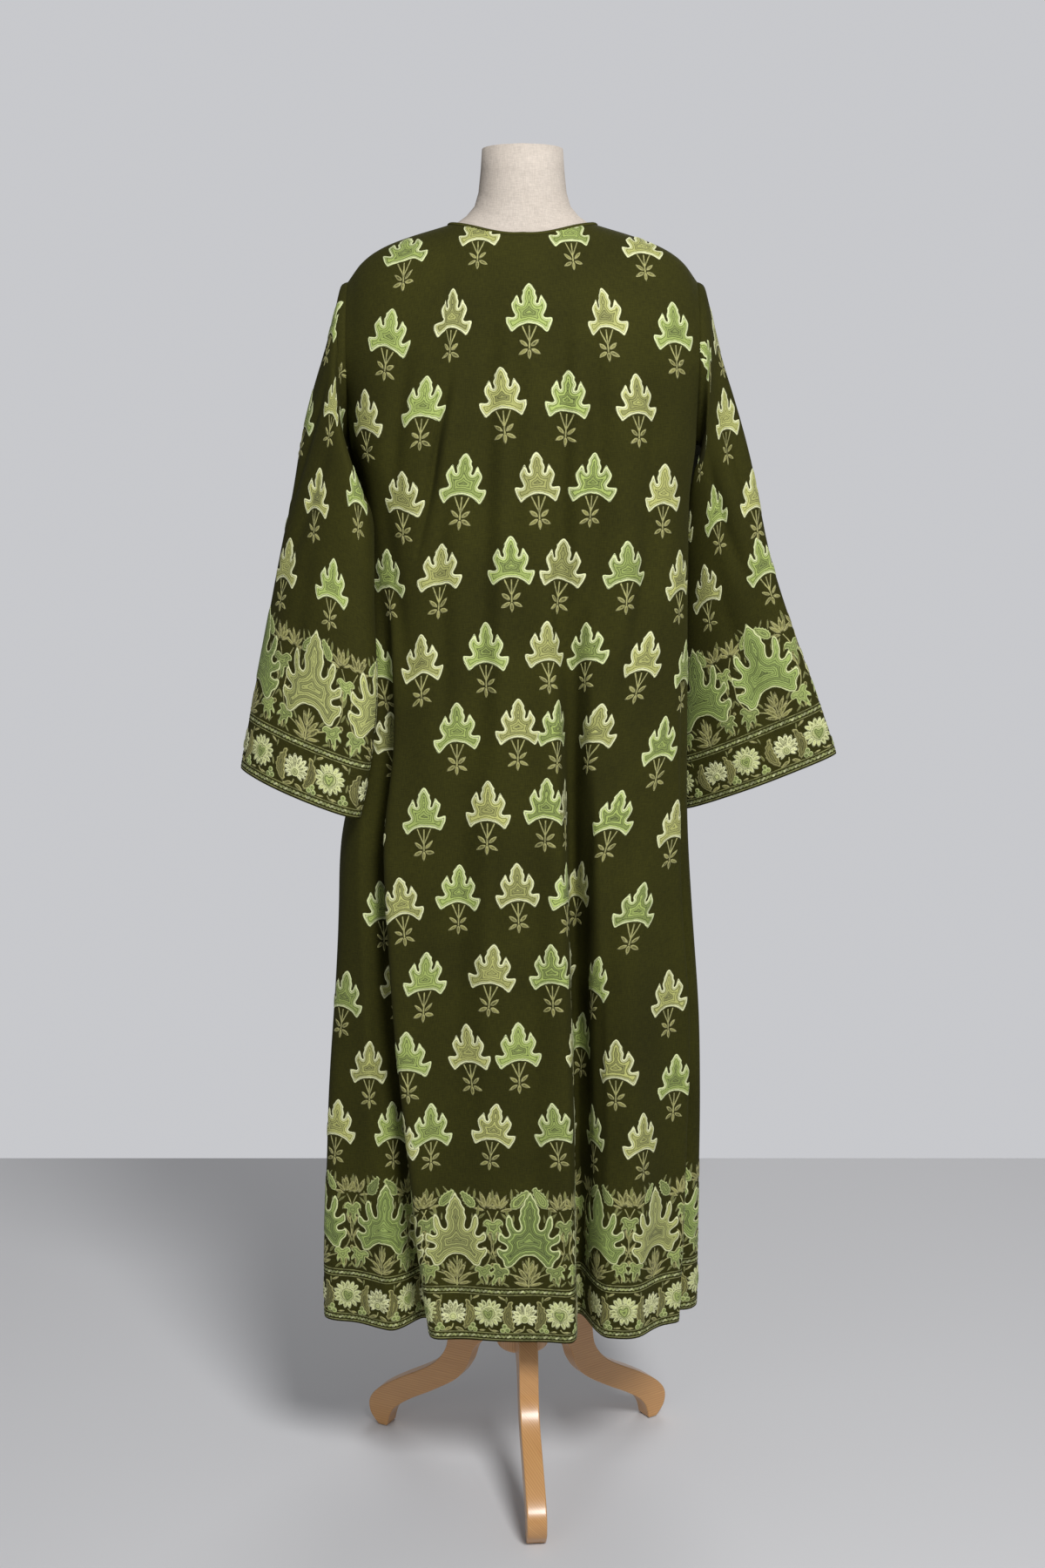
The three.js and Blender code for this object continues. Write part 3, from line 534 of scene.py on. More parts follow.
def linen_material():
    """Unbleached linen, plainly woven: pale and dull, with slubs. Its threads, in truth about half a
    millimetre apart, are drawn 0.91 mm apart so that they show."""
    material, tree, shader = new_material("Unbleached linen", Roughness=0.9)
    shader.inputs["Specular IOR Level"].default_value = 0.2
    where = add(tree, "TexCoord", {}, {}, "Object")
    cloud = add(tree, "TexNoise", {}, {"Vector": where, "Scale": repeats(71.4), "Detail": 3.0})
    colour = add(tree, "Mix", BLEND, {0: cloud, 6: linear("#bdb2a6"), 7: linear("#ccc2b7")}, 2)
    slubs = []
    for stretch in ((1.0, 1.0, 0.1), (0.12, 0.12, 1.0)):
        drawn_out = add(tree, "Mapping", {}, {"Vector": where, "Scale": stretch})
        fine = {"Vector": drawn_out, "Scale": repeats(0.91), "Detail": 2.0}
        slubs.append(add(tree, "TexNoise", {}, fine))
    weave = add(tree, "Math", SUM, {0: slubs[0], 1: slubs[1]})
    fleck = add(tree, "MapRange", {}, {0: weave, 1: 0.7, 2: 1.3, 3: 0.84, 4: 1.1})
    colour = add(tree, "Mix", TINT, {0: 1.0, 6: colour, 7: fleck}, 2)
    tree.links.new(colour, shader.inputs["Base Color"])
    grain = add(tree, "Bump", {}, {"Height": weave, "Distance": 0.4 * MM, "Strength": 0.7})
    tree.links.new(grain, shader.inputs["Normal"])
    return material


def wood_material():
    """Pale ash, sawn, sanded and varnished: faint growth lines 3.55 mm apart and long fine pores under
    a satin coat. The pores, in truth finer, are drawn 1.43 mm wide so that they show."""
    material, tree, shader = new_material("Pale ash wood, varnished", Roughness=0.34)
    shader.inputs["Coat Weight"].default_value = 0.4
    shader.inputs["Coat Roughness"].default_value = 0.18
    where = add(tree, "UVMap")
    drawn_out = add(tree, "Mapping", {}, {"Vector": where, "Scale": (0.6 / 34, 1.0, 1.0)})
    bend = add(tree, "TexNoise", {}, {"Vector": where, "Scale": repeats(333), "Detail": 2.0})
    # A wave texture has ten bands in pi units
    lines = add(tree, "TexWave", {"wave_type": "BANDS", "bands_direction": "Y"}, {
        "Vector": drawn_out, "Scale": repeats(3.554) * math.pi / 10,
        "Distortion": 2.2, "Detail": 2.0, "Detail Scale": 0.8}, 1)
    fine = add(tree, "Mapping", {}, {"Vector": where, "Scale": (repeats(71.4), repeats(1.43), 1.0)})
    pores = add(tree, "TexNoise", {}, {"Vector": fine, "Scale": 1.0, "Detail": 3.0})
    faint_pores = add(tree, "Math", PRODUCT, {0: pores, 1: 0.6})
    mix = add(tree, "Math", SCALED_SUM, {0: lines, 1: 0.22, 2: faint_pores})
    mix = add(tree, "Math", SCALED_SUM, {0: bend, 1: 0.3, 2: mix})
    tone = add(tree, "MapRange", {}, {0: mix, 1: 0.3, 2: 1.0})
    colour = add(tree, "Mix", BLEND, {0: tone, 6: linear("#cf9f66"), 7: linear("#a5703f")}, 2)
    tree.links.new(colour, shader.inputs["Base Color"])
    grain = add(tree, "Bump", {}, {"Height": pores, "Distance": 0.2 * MM, "Strength": 0.3})
    tree.links.new(grain, shader.inputs["Normal"])
    return material


CLOTH = cloth_material("Olive wool crepe", "#34330c", "#2c2b09", "#26250d")
BINDING = cloth_material("Olive bias binding", "#424117", "#393812", "#2a2910")
THREAD = thread_material("Chain-stitched wool thread", 2.4)
LINEN = linen_material()
WOOD = wood_material()


# Stitched shapes, in millimetres, pointing up

class Shape:
    """A flat filled outline: its points, triangles and each point's distance from the edge."""

    def __init__(self, outline, spacing):
        outline = self.even(np.array(outline, float), spacing)
        low, high = outline.min(0), outline.max(0)
        step = spacing * 1.05
        rows = np.arange(low[1] + step / 2, high[1], step * 0.866)
        inside = np.array([(x + (j % 2) * step / 2, y) for j, y in enumerate(rows)
                           for x in np.arange(low[0], high[0], step)]).reshape(-1, 2)
        if len(inside):
            keep = self.holds(outline, inside) & (self.distance(outline, inside) > 0.55 * spacing)
            inside = inside[keep]
        points = [Vector(p) for p in np.concatenate([outline, inside])]
        made = delaunay_2d_cdt(points, [], [list(range(len(outline)))], 1, 1e-5)
        self.points = np.array([tuple(p) for p in made[0]])
        self.faces = np.array([tuple(face) for face in made[2] if len(face) == 3])
        a, b, c = (self.points[self.faces[:, k]] for k in range(3))
        turned = np.cross(b - a, c - a) < 0
        self.faces[turned] = self.faces[turned][:, ::-1]
        self.edge = self.distance(outline, self.points)

    @staticmethod
    def even(outline, spacing):
        closed = np.concatenate([outline, outline[:1]])
        length = np.cumsum(np.linalg.norm(np.diff(closed, axis=0, prepend=closed[:1]), axis=1))
        count = max(8, int(round(length[-1] / spacing)))
        at = np.linspace(0, length[-1], count, endpoint=False)
        return np.stack([np.interp(at, length, closed[:, k]) for k in (0, 1)], 1)

    @staticmethod
    def holds(outline, points):
        a, b = outline, np.roll(outline, -1, 0)
        x, y = points[:, :1], points[:, 1:]
        crosses = (a[:, 1] > y) != (b[:, 1] > y)
        rise = np.where(b[:, 1] == a[:, 1], 1e-9, b[:, 1] - a[:, 1])
        return (crosses & (x < (b[:, 0] - a[:, 0]) * (y - a[:, 1]) / rise + a[:, 0])).sum(1) % 2 == 1

    @staticmethod
    def distance(outline, points):
        a, b = outline, np.roll(outline, -1, 0)
        run = b - a
        share = ((points[:, None] - a) * run).sum(2) / np.maximum((run * run).sum(1), 1e-9)
        near = a + np.clip(share, 0, 1)[..., None] * run
        return np.linalg.norm(points[:, None] - near, axis=2).min(1)


def mirrored(half):
    """A whole outline from its right half, which runs from the tip to the foot of the middle line."""
    half = np.array(half, float)
    return np.concatenate([half, half[-2:0:-1] * [-1, 1]])


def leaf_shape(half, spacing=2.3):
    return Shape(round_curve(mirrored(half), 4), spacing)


def petal_shape(length, width, point, spacing=1.7):
    """A leaflet that stands on its foot; point is 0 for a round end and 1 for a sharp one."""
    up = np.linspace(0, 1, 9)
    half = width / 2 * np.sin(np.pi * up ** (0.85 - 0.25 * point)) ** (0.62 + 0.4 * point)
    right = np.stack([half, length * up], 1)
    return Shape(np.concatenate([right, right[-2:0:-1] * [-1, 1]]), spacing)


def toothed_shape(length, width, teeth, depth, bend=0.0, spacing=1.8):
    """A serrated leaf that stands on its foot."""
    sides = []
    for side in (1, -1):
        line = []
        for k in range(teeth * 2 + 1):
            up = k / (teeth * 2)
            half = width / 2 * np.sin(np.pi * up ** 0.75) ** 0.8 + (depth if k % 2 else 0)
            line.append((side * half + bend * np.sin(np.pi * up), length * up + (1.5 if k % 2 else 0)))
        sides.append(line)
    return Shape(sides[0] + sides[1][-2:0:-1], spacing)


def disc_shape(radius, lobes, depth, spacing=1.7):
    turn = np.linspace(0, 2 * np.pi, 96, endpoint=False)
    far = radius - depth + depth * np.abs(np.sin(turn * lobes / 2)) ** 0.6
    return Shape(np.stack([far * np.sin(turn), far * np.cos(turn)], 1), spacing)


SHAPES = {
    "leaf": leaf_shape([
        (0, 62), (3.2, 60), (6.5, 55), (8.8, 51.5), (8.2, 48.5), (10.2, 44.5), (10.4, 40.5), (9.2, 37.5),
        (9.6, 34.8), (12, 36), (13.6, 41), (16.2, 46.4), (19.4, 41.5), (23.6, 34.5), (22.8, 28.5),
        (20.4, 23), (18.6, 19), (21.5, 17.2), (26, 17.6), (31, 17.4), (30.6, 11), (27.8, 4.5),
        (24, -1.8), (20.5, 0), (15, 4.2), (8, 7.2), (0, 8.4)]),
    "big_leaf": leaf_shape([
        (0, 100), (3.8, 94), (8, 88.5), (9, 84), (13, 78), (12.8, 72), (15, 66), (12.6, 58), (12.4, 52.5),
        (15.6, 50), (19.6, 53.5), (22, 61), (24.5, 68), (28.5, 72), (31.4, 66), (31.6, 58), (29.6, 51),
        (27, 45.5), (28, 42), (32, 42), (36.5, 46), (40, 48), (41.8, 43), (41.2, 37), (37, 33.4),
        (31.5, 30.5), (29, 27.5), (31, 24.6), (36.5, 25), (41, 27), (43, 22), (41, 15.5), (36.5, 11.5),
        (34, 7), (32.4, 1.8), (28.5, -0.5), (22.5, 1.5), (17.5, 6.5), (12, 12), (6, 14.8), (0, 15.2)]),
    "small_leaf": leaf_shape([
        (0, 27), (2.2, 23.5), (3, 20), (3.4, 15.5), (4.8, 14), (7, 17), (9.2, 18.5), (10, 14.5), (8.8, 11),
        (7.8, 8.6), (9.4, 7.2), (12.2, 7.2), (12.6, 3.4), (10, 0.4), (6, -0.8), (2.5, 1), (0, 2.4)], 1.9),
    "leaflet": petal_shape(14, 5.4, 0.0),
    "blade": petal_shape(19, 5.6, 0.1, 2.0),
    "petal": petal_shape(13, 5.2, 0.0),
    "toothed": toothed_shape(29, 13, 6, 2.2),
    "curved": toothed_shape(38, 11, 6, 1.8, 6.0),
    "marigold": disc_shape(21, 15, 2.6, 2.2),
    "heart": leaf_shape([(0, 9), (3.5, 11.5), (7.6, 9.5), (8.2, 3.5), (4.5, -3), (0, -7.5)], 1.8),
    "berry": disc_shape(4.6, 1, 0.0),
    "stitch": petal_shape(7.6, 2.9, 0.5, 2.0),
}
# Each thread's colours, fill and rim, and the rim's width in millimetres
INKS = {
    "green": ("#98a85a", "#d3dba2", 3.2), "cream": ("#a8aa64", "#dcdeac", 3.2),
    "olive": ("#7a7844", "#a5a26a", 1.1), "stem": ("#98965e", "#a8a66c", 0.8),
    "bright": ("#8f9c58", "#b3bb7e", 1.2), "moss": ("#686a38", "#858650", 0.9),
    "pale": ("#b3b87c", "#d0d49c", 1.3), "daisy": ("#c8ca94", "#dcdeae", 1.2),
    "chain": ("#8f9c58", "#a9b070", 0.8), "deep_green": ("#90a258", "#ccd398", 2.0),
    "deep_cream": ("#a8ac68", "#d4d6a2", 2.0),
}
INKS = {name: (linear(fill), linear(rim), width) for name, (fill, rim, width) in INKS.items()}


class Stitching:
    """Shapes stitched to one piece of cloth, gathered into one mesh."""

    def __init__(self, cloth):
        self.cloth = cloth
        self.parts = []
        self.count = 0

    def put(self, shape, s, t, turn=0.0, size=1.0, ink="olive", lift=0.3, flip=False, wide=1.0):
        """A shape with its own origin at (s, t), turned clockwise by degrees."""
        drawn = SHAPES[shape] if isinstance(shape, str) else shape
        x, y = (drawn.points * [-wide if flip else wide, 1] * size).T
        angle = math.radians(turn)
        across = s + x * math.cos(angle) + y * math.sin(angle)
        up = t - x * math.sin(angle) + y * math.cos(angle)
        edge = drawn.edge * size * min(1.0, wide)
        faces = (drawn.faces[:, ::-1] if flip else drawn.faces) + self.count
        self.keep(across, up, edge, lift, ink, faces)

    def keep(self, across, up, edge, lift, ink, faces):
        fill, rim, rim_width = INKS[ink]
        count = len(edge)
        colours = [np.tile(colour, (count, 1)) for colour in (fill, rim)]
        numbers = [np.full(count, value) for value in (random.random(), rim_width)]
        self.parts.append((across, up, edge, np.full(count, lift), *colours, *numbers, faces))
        self.count += count

    def line(self, points, width, ink="stem", lift=0.25):
        """A stitched line through points of the cloth."""
        path = round_curve(points, 5, closed=False)
        aside = unit(np.gradient(path, axis=0))[:, ::-1] * [1, -1]
        across = np.array([-0.5, 0, 0.5]) * width
        grid = path[:, None] + aside[:, None] * across[None, :, None]
        halves = [[(a, b, c), (a, c, d)] for a, b, c, d in grid_faces(len(path), 3)]
        faces = np.concatenate(halves) + self.count
        edge = np.tile([0.0, width / 2, 0.0], len(path))
        self.keep(*grid.reshape(-1, 2).T, edge, lift, ink, faces)

    def finish(self, name):
        gathered = [np.concatenate(rows) for rows in zip(*self.parts)]
        s, t, edge, lift, fill, rim, seed, rim_width, faces = gathered
        points, on = self.cloth.place(s, t, lift + 0.55 * (1 - np.exp(-edge / 0.9)))
        faces = faces[on[faces].sum(1) == 3]
        used, renumbered = np.unique(faces, return_inverse=True)
        faces = renumbered.reshape(-1, 3)
        uv = np.stack([s, t], 1)[used] * MM
        fields = {"edge": edge, "seed": seed, "fill": fill, "rim": rim, "rim_width": rim_width}
        fields = {field: values[used] for field, values in fields.items()}
        made = make_object(name, in_frame(points[used]), faces, THREAD, uv, fields)
        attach(made, "root")
        return made


# The pattern

def buta(work, s, t, ink, size=1.0, turn=0.0):
    """A leaf with its stems and leaflets; (s, t) is the leaf's tip."""
    angle = math.radians(turn)

    def at(x, y):
        y = y - 62
        return (s + (x * math.cos(angle) + y * math.sin(angle)) * size,
                t + (y * math.cos(angle) - x * math.sin(angle)) * size)

    work.put("leaf", *at(0, 0), turn, size, ink,
             flip=random.random() < 0.5, wide=random.uniform(0.94, 1.04))
    for foot in (-9, 0, 9):
        work.line([at(foot, 5.5), at(foot * 0.5, -5), at(0, -15)], 2.0 * size, "stem", 0.15)
    work.line([at(0, -14), at(0, -24)], 2.2 * size, "stem", 0.15)
    for side, away in ((1, 48), (-1, 52), (1, 116), (-1, 120)):
        work.put("leaflet", *at(side * 1.8, -21 if away < 90 else -24), turn + side * away, size,
                 "olive", wide=random.uniform(0.9, 1.15))
    work.put("leaflet", *at(0, -24), turn + 180, size * 0.95, "olive")


# The rows of leaves from the top, by the height of the tips, and where the tips stand across. Most
# places on the back, and some on the sleeves, come from a separate measuring script that carried
# places picked in the photo onto the cloth; the others were filled in by hand
BACK_ROWS = {
    1437: (-172, -55, 55, 170), 1324: (-178, -90, 5, 110, 198), 1226: (-206, -122, -28, 54, 140),
    1124: (-148, -70, 14, 87, 180), 1024: (-182, -103, -17, 51, 125, 211),
    920: (-210, -130, -48, 26, 85, 170, 250), 825: (-204, -86, -11, 44, 124, 220),
    726: (-205, -127, -44, 26, 74, 183, 270), 622: (-256, -160, -83, -12, 60, 136, 242),
    521: (-311, -230, -123, -39, 33, 110, 203, 308), 421: (-276, -149, -75, -8, 76, 150, 233, 327),
    319: (-320, -240, -161, -122, -35, 33, 120, 190, 270, 355)}
LEFT_ROWS = {
    586: (-130, -45, 42, 130), 476: (-160, -70, 14, 97, 180), 368: (-110, -12, 82, 178),
    256: (-150, -55, 42, 134)}
RIGHT_ROWS = {
    595: (-98, -12, 80, 160), 494: (-135, -31, 60, 150), 388: (-180, -92, 0, 90, 180),
    298: (-120, -19, 70, 165)}
LATTICE_ACROSS, LATTICE_DOWN = 88.0, 101.0
LOWEST_TIP = 300


def scatter(work, rows, droop, slope=0.0):
    """Leaves with their stems in rows, each with its own places across. The rows droop to the sides."""
    for row, (tip, places) in enumerate(rows.items()):
        for k, s in enumerate(places):
            ink = ("green", "cream")[(k + row // 2) % 2]
            height = tip + slope * s - droop * s * s
            if height > LOWEST_TIP - 40:
                buta(work, s + random.normal(0, 1.2), max(height, LOWEST_TIP) + random.normal(0, 1.5), ink,
                     random.uniform(0.89, 0.95), random.normal(0, 4))


def even_rows(first_tip, count, shift, reach):
    """Rows of places across, each one half a step from the one above."""
    steps = range(-int(reach // LATTICE_ACROSS) - 1, int(reach // LATTICE_ACROSS) + 2)
    return {first_tip - row * LATTICE_DOWN: [shift + (k + row % 2 / 2) * LATTICE_ACROSS for k in steps]
            for row in range(count)}


# What stands right of each big leaf's middle line, and again left of it: shape, place across and
# up from the edge, turn, size, ink. What stands at BETWEEN is shared with the next leaf, so it comes once
BORDER = [
    ("toothed", 23, 162, -36, 0.95, "bright"), ("small_leaf", 46, 150, 178, 1.05, "bright"),
    ("blade", 36, 160, -74, 0.8, "olive"), ("blade", 37, 162, -48, 0.95, "olive"),
    ("blade", 38, 163, -22, 1.05, "olive"), ("blade", 39, 163, 4, 1.05, "olive"),
    ("blade", 40, 163, 30, 1.0, "olive"), ("blade", 41, 162, 58, 0.8, "olive"),
    ("blade", 26, 152, 12, 0.8, "moss"), ("blade", 27, 150, 42, 0.6, "moss"),
    ("blade", 22, 172, 10, 0.7, "moss"), ("blade", 12, 178, 34, 0.55, "moss"),
    ("blade", 46, 172, 0, 0.75, "moss"), ("blade", 20, 146, -4, 0.55, "moss"),
    ("blade", 33, 141, 24, 0.55, "moss"), ("blade", 45, 124, -24, 0.8, "olive"),
    ("blade", 46, 120, 14, 0.8, "moss"), ("blade", 44, 110, -34, 0.75, "olive"),
    ("blade", 45, 104, 30, 0.6, "moss"), ("berry", 44, 136, 0, 0.6, "olive"),
    ("small_leaf", 33, 97, 164, 1.0, "bright"), ("berry", 46, 98, 0, 0.6, "olive"),
    ("blade", 1.0, 86, 15, 1.0, "olive"), ("blade", 1.0, 80, 32, 1.15, "olive"),
    ("blade", 1.2, 76, 50, 1.15, "olive"), ("blade", 1.2, 73.5, 72, 0.95, "olive"),
    ("blade", 0.6, 95, 22, 0.55, "moss"), ("blade", 16, 90, 34, 0.7, "moss"),
    ("blade", 37, 74, 12, 0.75, "olive"), ("blade", 35, 74, -24, 0.7, "moss"),
    ("blade", 41, 74, 36, 0.5, "moss"), ("blade", 24, 73, 56, 0.6, "moss"),
]


def marigold(put, line, middle):
    for turn in range(0, 360, 24):
        angle = math.radians(turn)
        put("petal", middle + 8 * math.sin(angle), 38 + 7.4 * math.cos(angle), turn + random.normal(0, 3),
            0.98, "pale", 0.4 + 0.05 * (turn % 48 == 0), wide=1.25)
    put("marigold", middle, 37.5, 12, 0.52, "pale", 0.8)
    put("heart", middle, 34, random.normal(0, 8), 0.9, "bright", 1.2)
    line([(middle, 18), (middle + 3, 15), (middle + 9, 13)], 1.8)
    for side in (1, -1):
        for x, y in ((18, 15), (24, 16), (20.5, 21)):
            put("berry", middle + side * x, y, 0, 0.8, "bright", 0.6)
        put("blade", middle + side * 4, 15, side * 96, 0.5, "olive", 0.3)
        put("blade", middle + side * 12, 61, side * 118, 0.6, "olive", 0.2)
        put("blade", middle + side * 23, 61, 180 + random.normal(0, 8), 0.5, "moss", 0.2)
        put("blade", middle + side * 23, 28, random.normal(0, 12), 0.6, "moss", 0.15)


def daisy(put, line, middle):
    for turn in range(-132, 133, 24):
        length = 1.14 + 0.36 * math.cos(math.radians(turn))
        put("petal", middle + 3 * math.sin(math.radians(turn)), 32 + 3 * math.cos(math.radians(turn)),
            turn + random.normal(0, 3), length, "daisy", 0.45 + 0.04 * (turn % 48 == 0))
    put("berry", middle, 31, 0, 1.25, "pale", 1.1)
    for side in (1, -1):
        put("curved", middle + side * 15, 14, side * 2, 1.08, "olive", 0.25, flip=side < 0)
        put("leaflet", middle + side * 2, 17, side * 112, 0.9, "olive", 0.3)
    line([(middle, 22), (middle - 3, 15), (middle - 14, 13)], 2.0)


# The lower band's height, how much the part above it is stretched, and the middle between two leaves
BAND_TOP, UPPER_STRETCH, BETWEEN = 67, 1.16, 46


def border(work, centres, inks, leaf_size):
    """The border along a hem or cuff: a big leaf at each centre, and a daisy and a marigold below."""
    def up(t):
        return t if t < BAND_TOP else BAND_TOP + (t - BAND_TOP) * UPPER_STRETCH

    def put(shape, s, t, turn, size, *rest, **more):
        grow = 1.0 if t < BAND_TOP else 1.08
        work.put(shape, middle + s, up(t), turn, size * grow, *rest, **more)

    def line(places, width, *rest):
        work.line([(middle + x, up(y)) for x, y in places], width, *rest)

    for k, (middle, ink) in enumerate(zip(centres, inks)):
        put("big_leaf", 0, 95, random.normal(0, 2.5), leaf_size * random.uniform(0.97, 1.02),
            {"g": "deep_green", "c": "deep_cream"}[ink], 0.55,
            flip=k % 2 == 1, wide=random.uniform(0.95, 1.02))
        for side in (1, -1):
            for shape, x, y, turn, size, colour in BORDER:
                if x == BETWEEN and side < 0:
                    continue
                put(shape, side * x, y, side * turn + random.normal(0, 5),
                    size * random.uniform(0.9, 1.08), colour, 0.2,
                    flip=side < 0, wide=random.uniform(0.8, 1.0))
            line([(side * x, y) for x, y in ((0, 73), (14, 84), (28, 90), (40, 100), (45.5, 114))], 1.8)
            line([(side * x, y) for x, y in ((45.5, 114), (44, 130), (45.5, 146), (39, 160))], 1.6)
        line([(0, 72), (0, 106)], 2.2)
        daisy(put, line, -5)
        marigold(put, line, 41)


def chain(work, t, reach):
    """A twisted chain between two plain rows."""
    for at in (t - 4.3, t + 4.3):
        work.line([(s, at) for s in np.arange(-reach, reach + 1, 8.0)], 1.5, "moss", 0.2)
    for k, s in enumerate(np.arange(-reach, reach, 5.2)):
        work.put("stitch", s, t - 1.5, 66, 1.0, ("chain", "pale")[k % 3 == 2], 0.5)
        work.put("stitch", s + 2.6, t + 1.7, 112, 0.9, "chain", 0.4)


# Build the cloth

GARMENT = {
    "back": panel("back", 260, 188), "front": panel("front", 220, 150),
    "left": sleeve("left", 130, 90), "right": sleeve("right", 130, 90)}
NODES = {"back": "back_panel", "front": "front_panel", "left": "sleeve_left", "right": "sleeve_right"}
SHOWN = {
    key: cloth_object(f"cloth_{key}", cloth, CLOTH, [NODES[key]])
    for key, cloth in GARMENT.items()}

# Stitch it

# Three of the back's centres come from the measuring script too
BACK_CENTRES = (-440, -348, -256, -171, -87, 5, 102, 212, 302, 394, 486)
LAYOUT = {
    "back": {"rows": BACK_ROWS, "centres": BACK_CENTRES, "leaf_size": 0.91},
    "front": {"rows": even_rows(1350, 11, 20, 450), "centres": range(-440, 490, 92), "leaf_size": 0.91},
    "left": {"rows": LEFT_ROWS, "centres": (-181, -80, 21, 122, 223), "leaf_size": 1.03},
    "right": {"rows": RIGHT_ROWS, "centres": (-260, -159, -58, 43, 144, 245), "leaf_size": 1.03},
}
# Green or cream for each big leaf in turn
BORDER_INKS = "cggccgcgcgcg"
# How far the sleeves' rows rise for each millimetre across
SLOPES = {"left": 0.35, "right": -0.1}
for key, cloth in GARMENT.items():
    place = LAYOUT[key]
    leaves = Stitching(cloth)
    scatter(leaves, place["rows"], 0.0005 if key == "back" else 0.0, SLOPES.get(key, 0.0))
    edging = Stitching(cloth)
    border(edging, place["centres"], BORDER_INKS, place["leaf_size"])
    reach = np.abs(cloth.s[:20]).max()
    for t in (7.0, BAND_TOP):
        chain(edging, t, reach)
    leaves.finish(f"leaves_{key}")
    edging.finish(f"border_{key}")


# Neck binding, form and stand

def ring_object(name, rings, material):
    """A closed band from loops of points, one after the other round the band."""
    rings = np.asarray(rings, float)
    count, size = rings.shape[:2]
    faces = []
    for i in range(count):
        for j in range(size):
            a, b = i * size + j, i * size + (j + 1) % size
            c, d = ((i + 1) % count) * size + (j + 1) % size, ((i + 1) % count) * size + j
            faces.append((a, b, c, d))
    return make_object(name, in_frame(rings.reshape(-1, 3)), faces, material)


def copy_of(node, material, name):
    """A welded, smooth copy of a CAD node."""
    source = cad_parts[node].data
    points = np.array([v.co for v in source.vertices])
    key, renumbered = np.unique(np.round(points, 6), axis=0, return_inverse=True)
    renumbered = renumbered.ravel()
    faces = [[int(renumbered[i]) for i in p.vertices] for p in source.polygons]
    made = make_object(name, key, [f for f in faces if len(set(f)) > 2], material)
    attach(made, "root")
    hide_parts(node)
    return made


def neck_binding():
    """Loops of points along the neckline, which together make the band's round section."""
    turn = np.linspace(0, 2 * np.pi, 240, endpoint=False)
    x = NECK_HALF_WIDTH * np.sin(turn)
    across = 2 / np.pi * np.sign(x) * np.arcsin((np.abs(x) / ARMHOLE_X) ** (BODY_SQUARENESS / 2))
    line = []
    for a, facing in zip(across, np.cos(turn)):
        side = "back" if facing > 0 else "front"
        line.append(cap_points(side, np.array([a]), np.array([1.0]))[0])
    line = np.array(line)
    line = 0.5 * line + 0.25 * (np.roll(line, 1, 0) + np.roll(line, -1, 0))
    ahead = unit(np.roll(line, -1, 0) - np.roll(line, 1, 0))
    out = unit(line - [0, 10, 1500])
    out = unit(out - ahead * (out * ahead).sum(1, keepdims=True))
    side = np.cross(ahead, out)
    towards = np.sign((([0, 10, 1680] - line) * side).sum(1, keepdims=True))
    side = side * towards
    rings = []
    for turn in np.linspace(0, 2 * np.pi, 10, endpoint=False):
        rings.append(line + side * (2.6 + 2.6 * math.cos(turn)) + out * (0.6 + 1.3 * math.sin(turn)))
    return rings


binding = ring_object("neck_binding_soft", neck_binding(), BINDING)
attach(binding, "root")
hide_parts("neck_binding")

form = copy_of("dress_form", LINEN, "linen_form")


def turned_object(name, profile, faces=48):
    turn = np.linspace(0, 2 * np.pi, faces, endpoint=False)
    points = [(r * math.cos(a), r * math.sin(a), z) for r, z in profile for a in turn]
    quads = []
    for i in range(len(profile) - 1):
        for j in range(faces):
            k = (j + 1) % faces
            quads.append((i * faces + j, i * faces + k, (i + 1) * faces + k, (i + 1) * faces + j))
    ends = [tuple(range(faces))[::-1], tuple((len(profile) - 1) * faces + j for j in range(faces))]
    points = np.array(points)
    uv = np.stack([points[:, 2], np.arctan2(points[:, 1], points[:, 0]) * 35], 1) * MM
    return make_object(name, in_frame(points), quads + ends, WOOD, uv)


def rounded_profile(radius, low, high, edge):
    arc = np.radians(np.linspace(0, 90, 6))
    bottom = [(radius - edge + edge * math.sin(a), low + edge - edge * math.cos(a)) for a in arc]
    top = [(radius - edge + edge * math.cos(a), high - edge + edge * math.sin(a)) for a in arc]
    return [(radius * 0.4, low)] + bottom + top + [(radius * 0.4, high)]


def leg_object(name, turn):
    top = round_curve(LEG_TOP_EDGE, 6, closed=False)
    under = round_curve(LEG_UNDER_EDGE, 6, closed=False)
    outline = np.concatenate([top, under])
    count = len(outline)
    angle = math.radians(turn)
    points, uv = [], []
    for y in (-LEG_THICKNESS / 2, LEG_THICKNESS / 2):
        for x, z in outline:
            points.append((
                x * math.cos(angle) - y * math.sin(angle), x * math.sin(angle) + y * math.cos(angle), z))
            uv.append((x, z + y))
    sides = [(j, (j + 1) % count, count + (j + 1) % count, count + j) for j in range(count)]
    faces = [tuple(range(count))[::-1], tuple(range(count, 2 * count))] + sides
    made = make_object(name, in_frame(points), faces, WOOD, np.array(uv) * MM)
    bevel = made.modifiers.new("edges", "BEVEL")
    bevel.width = 0.004
    bevel.segments = 4
    bevel.limit_method = "ANGLE"
    bevel.angle_limit = math.radians(50)
    normals = made.modifiers.new("normals", "WEIGHTED_NORMAL")
    normals.keep_sharp = False
    return made


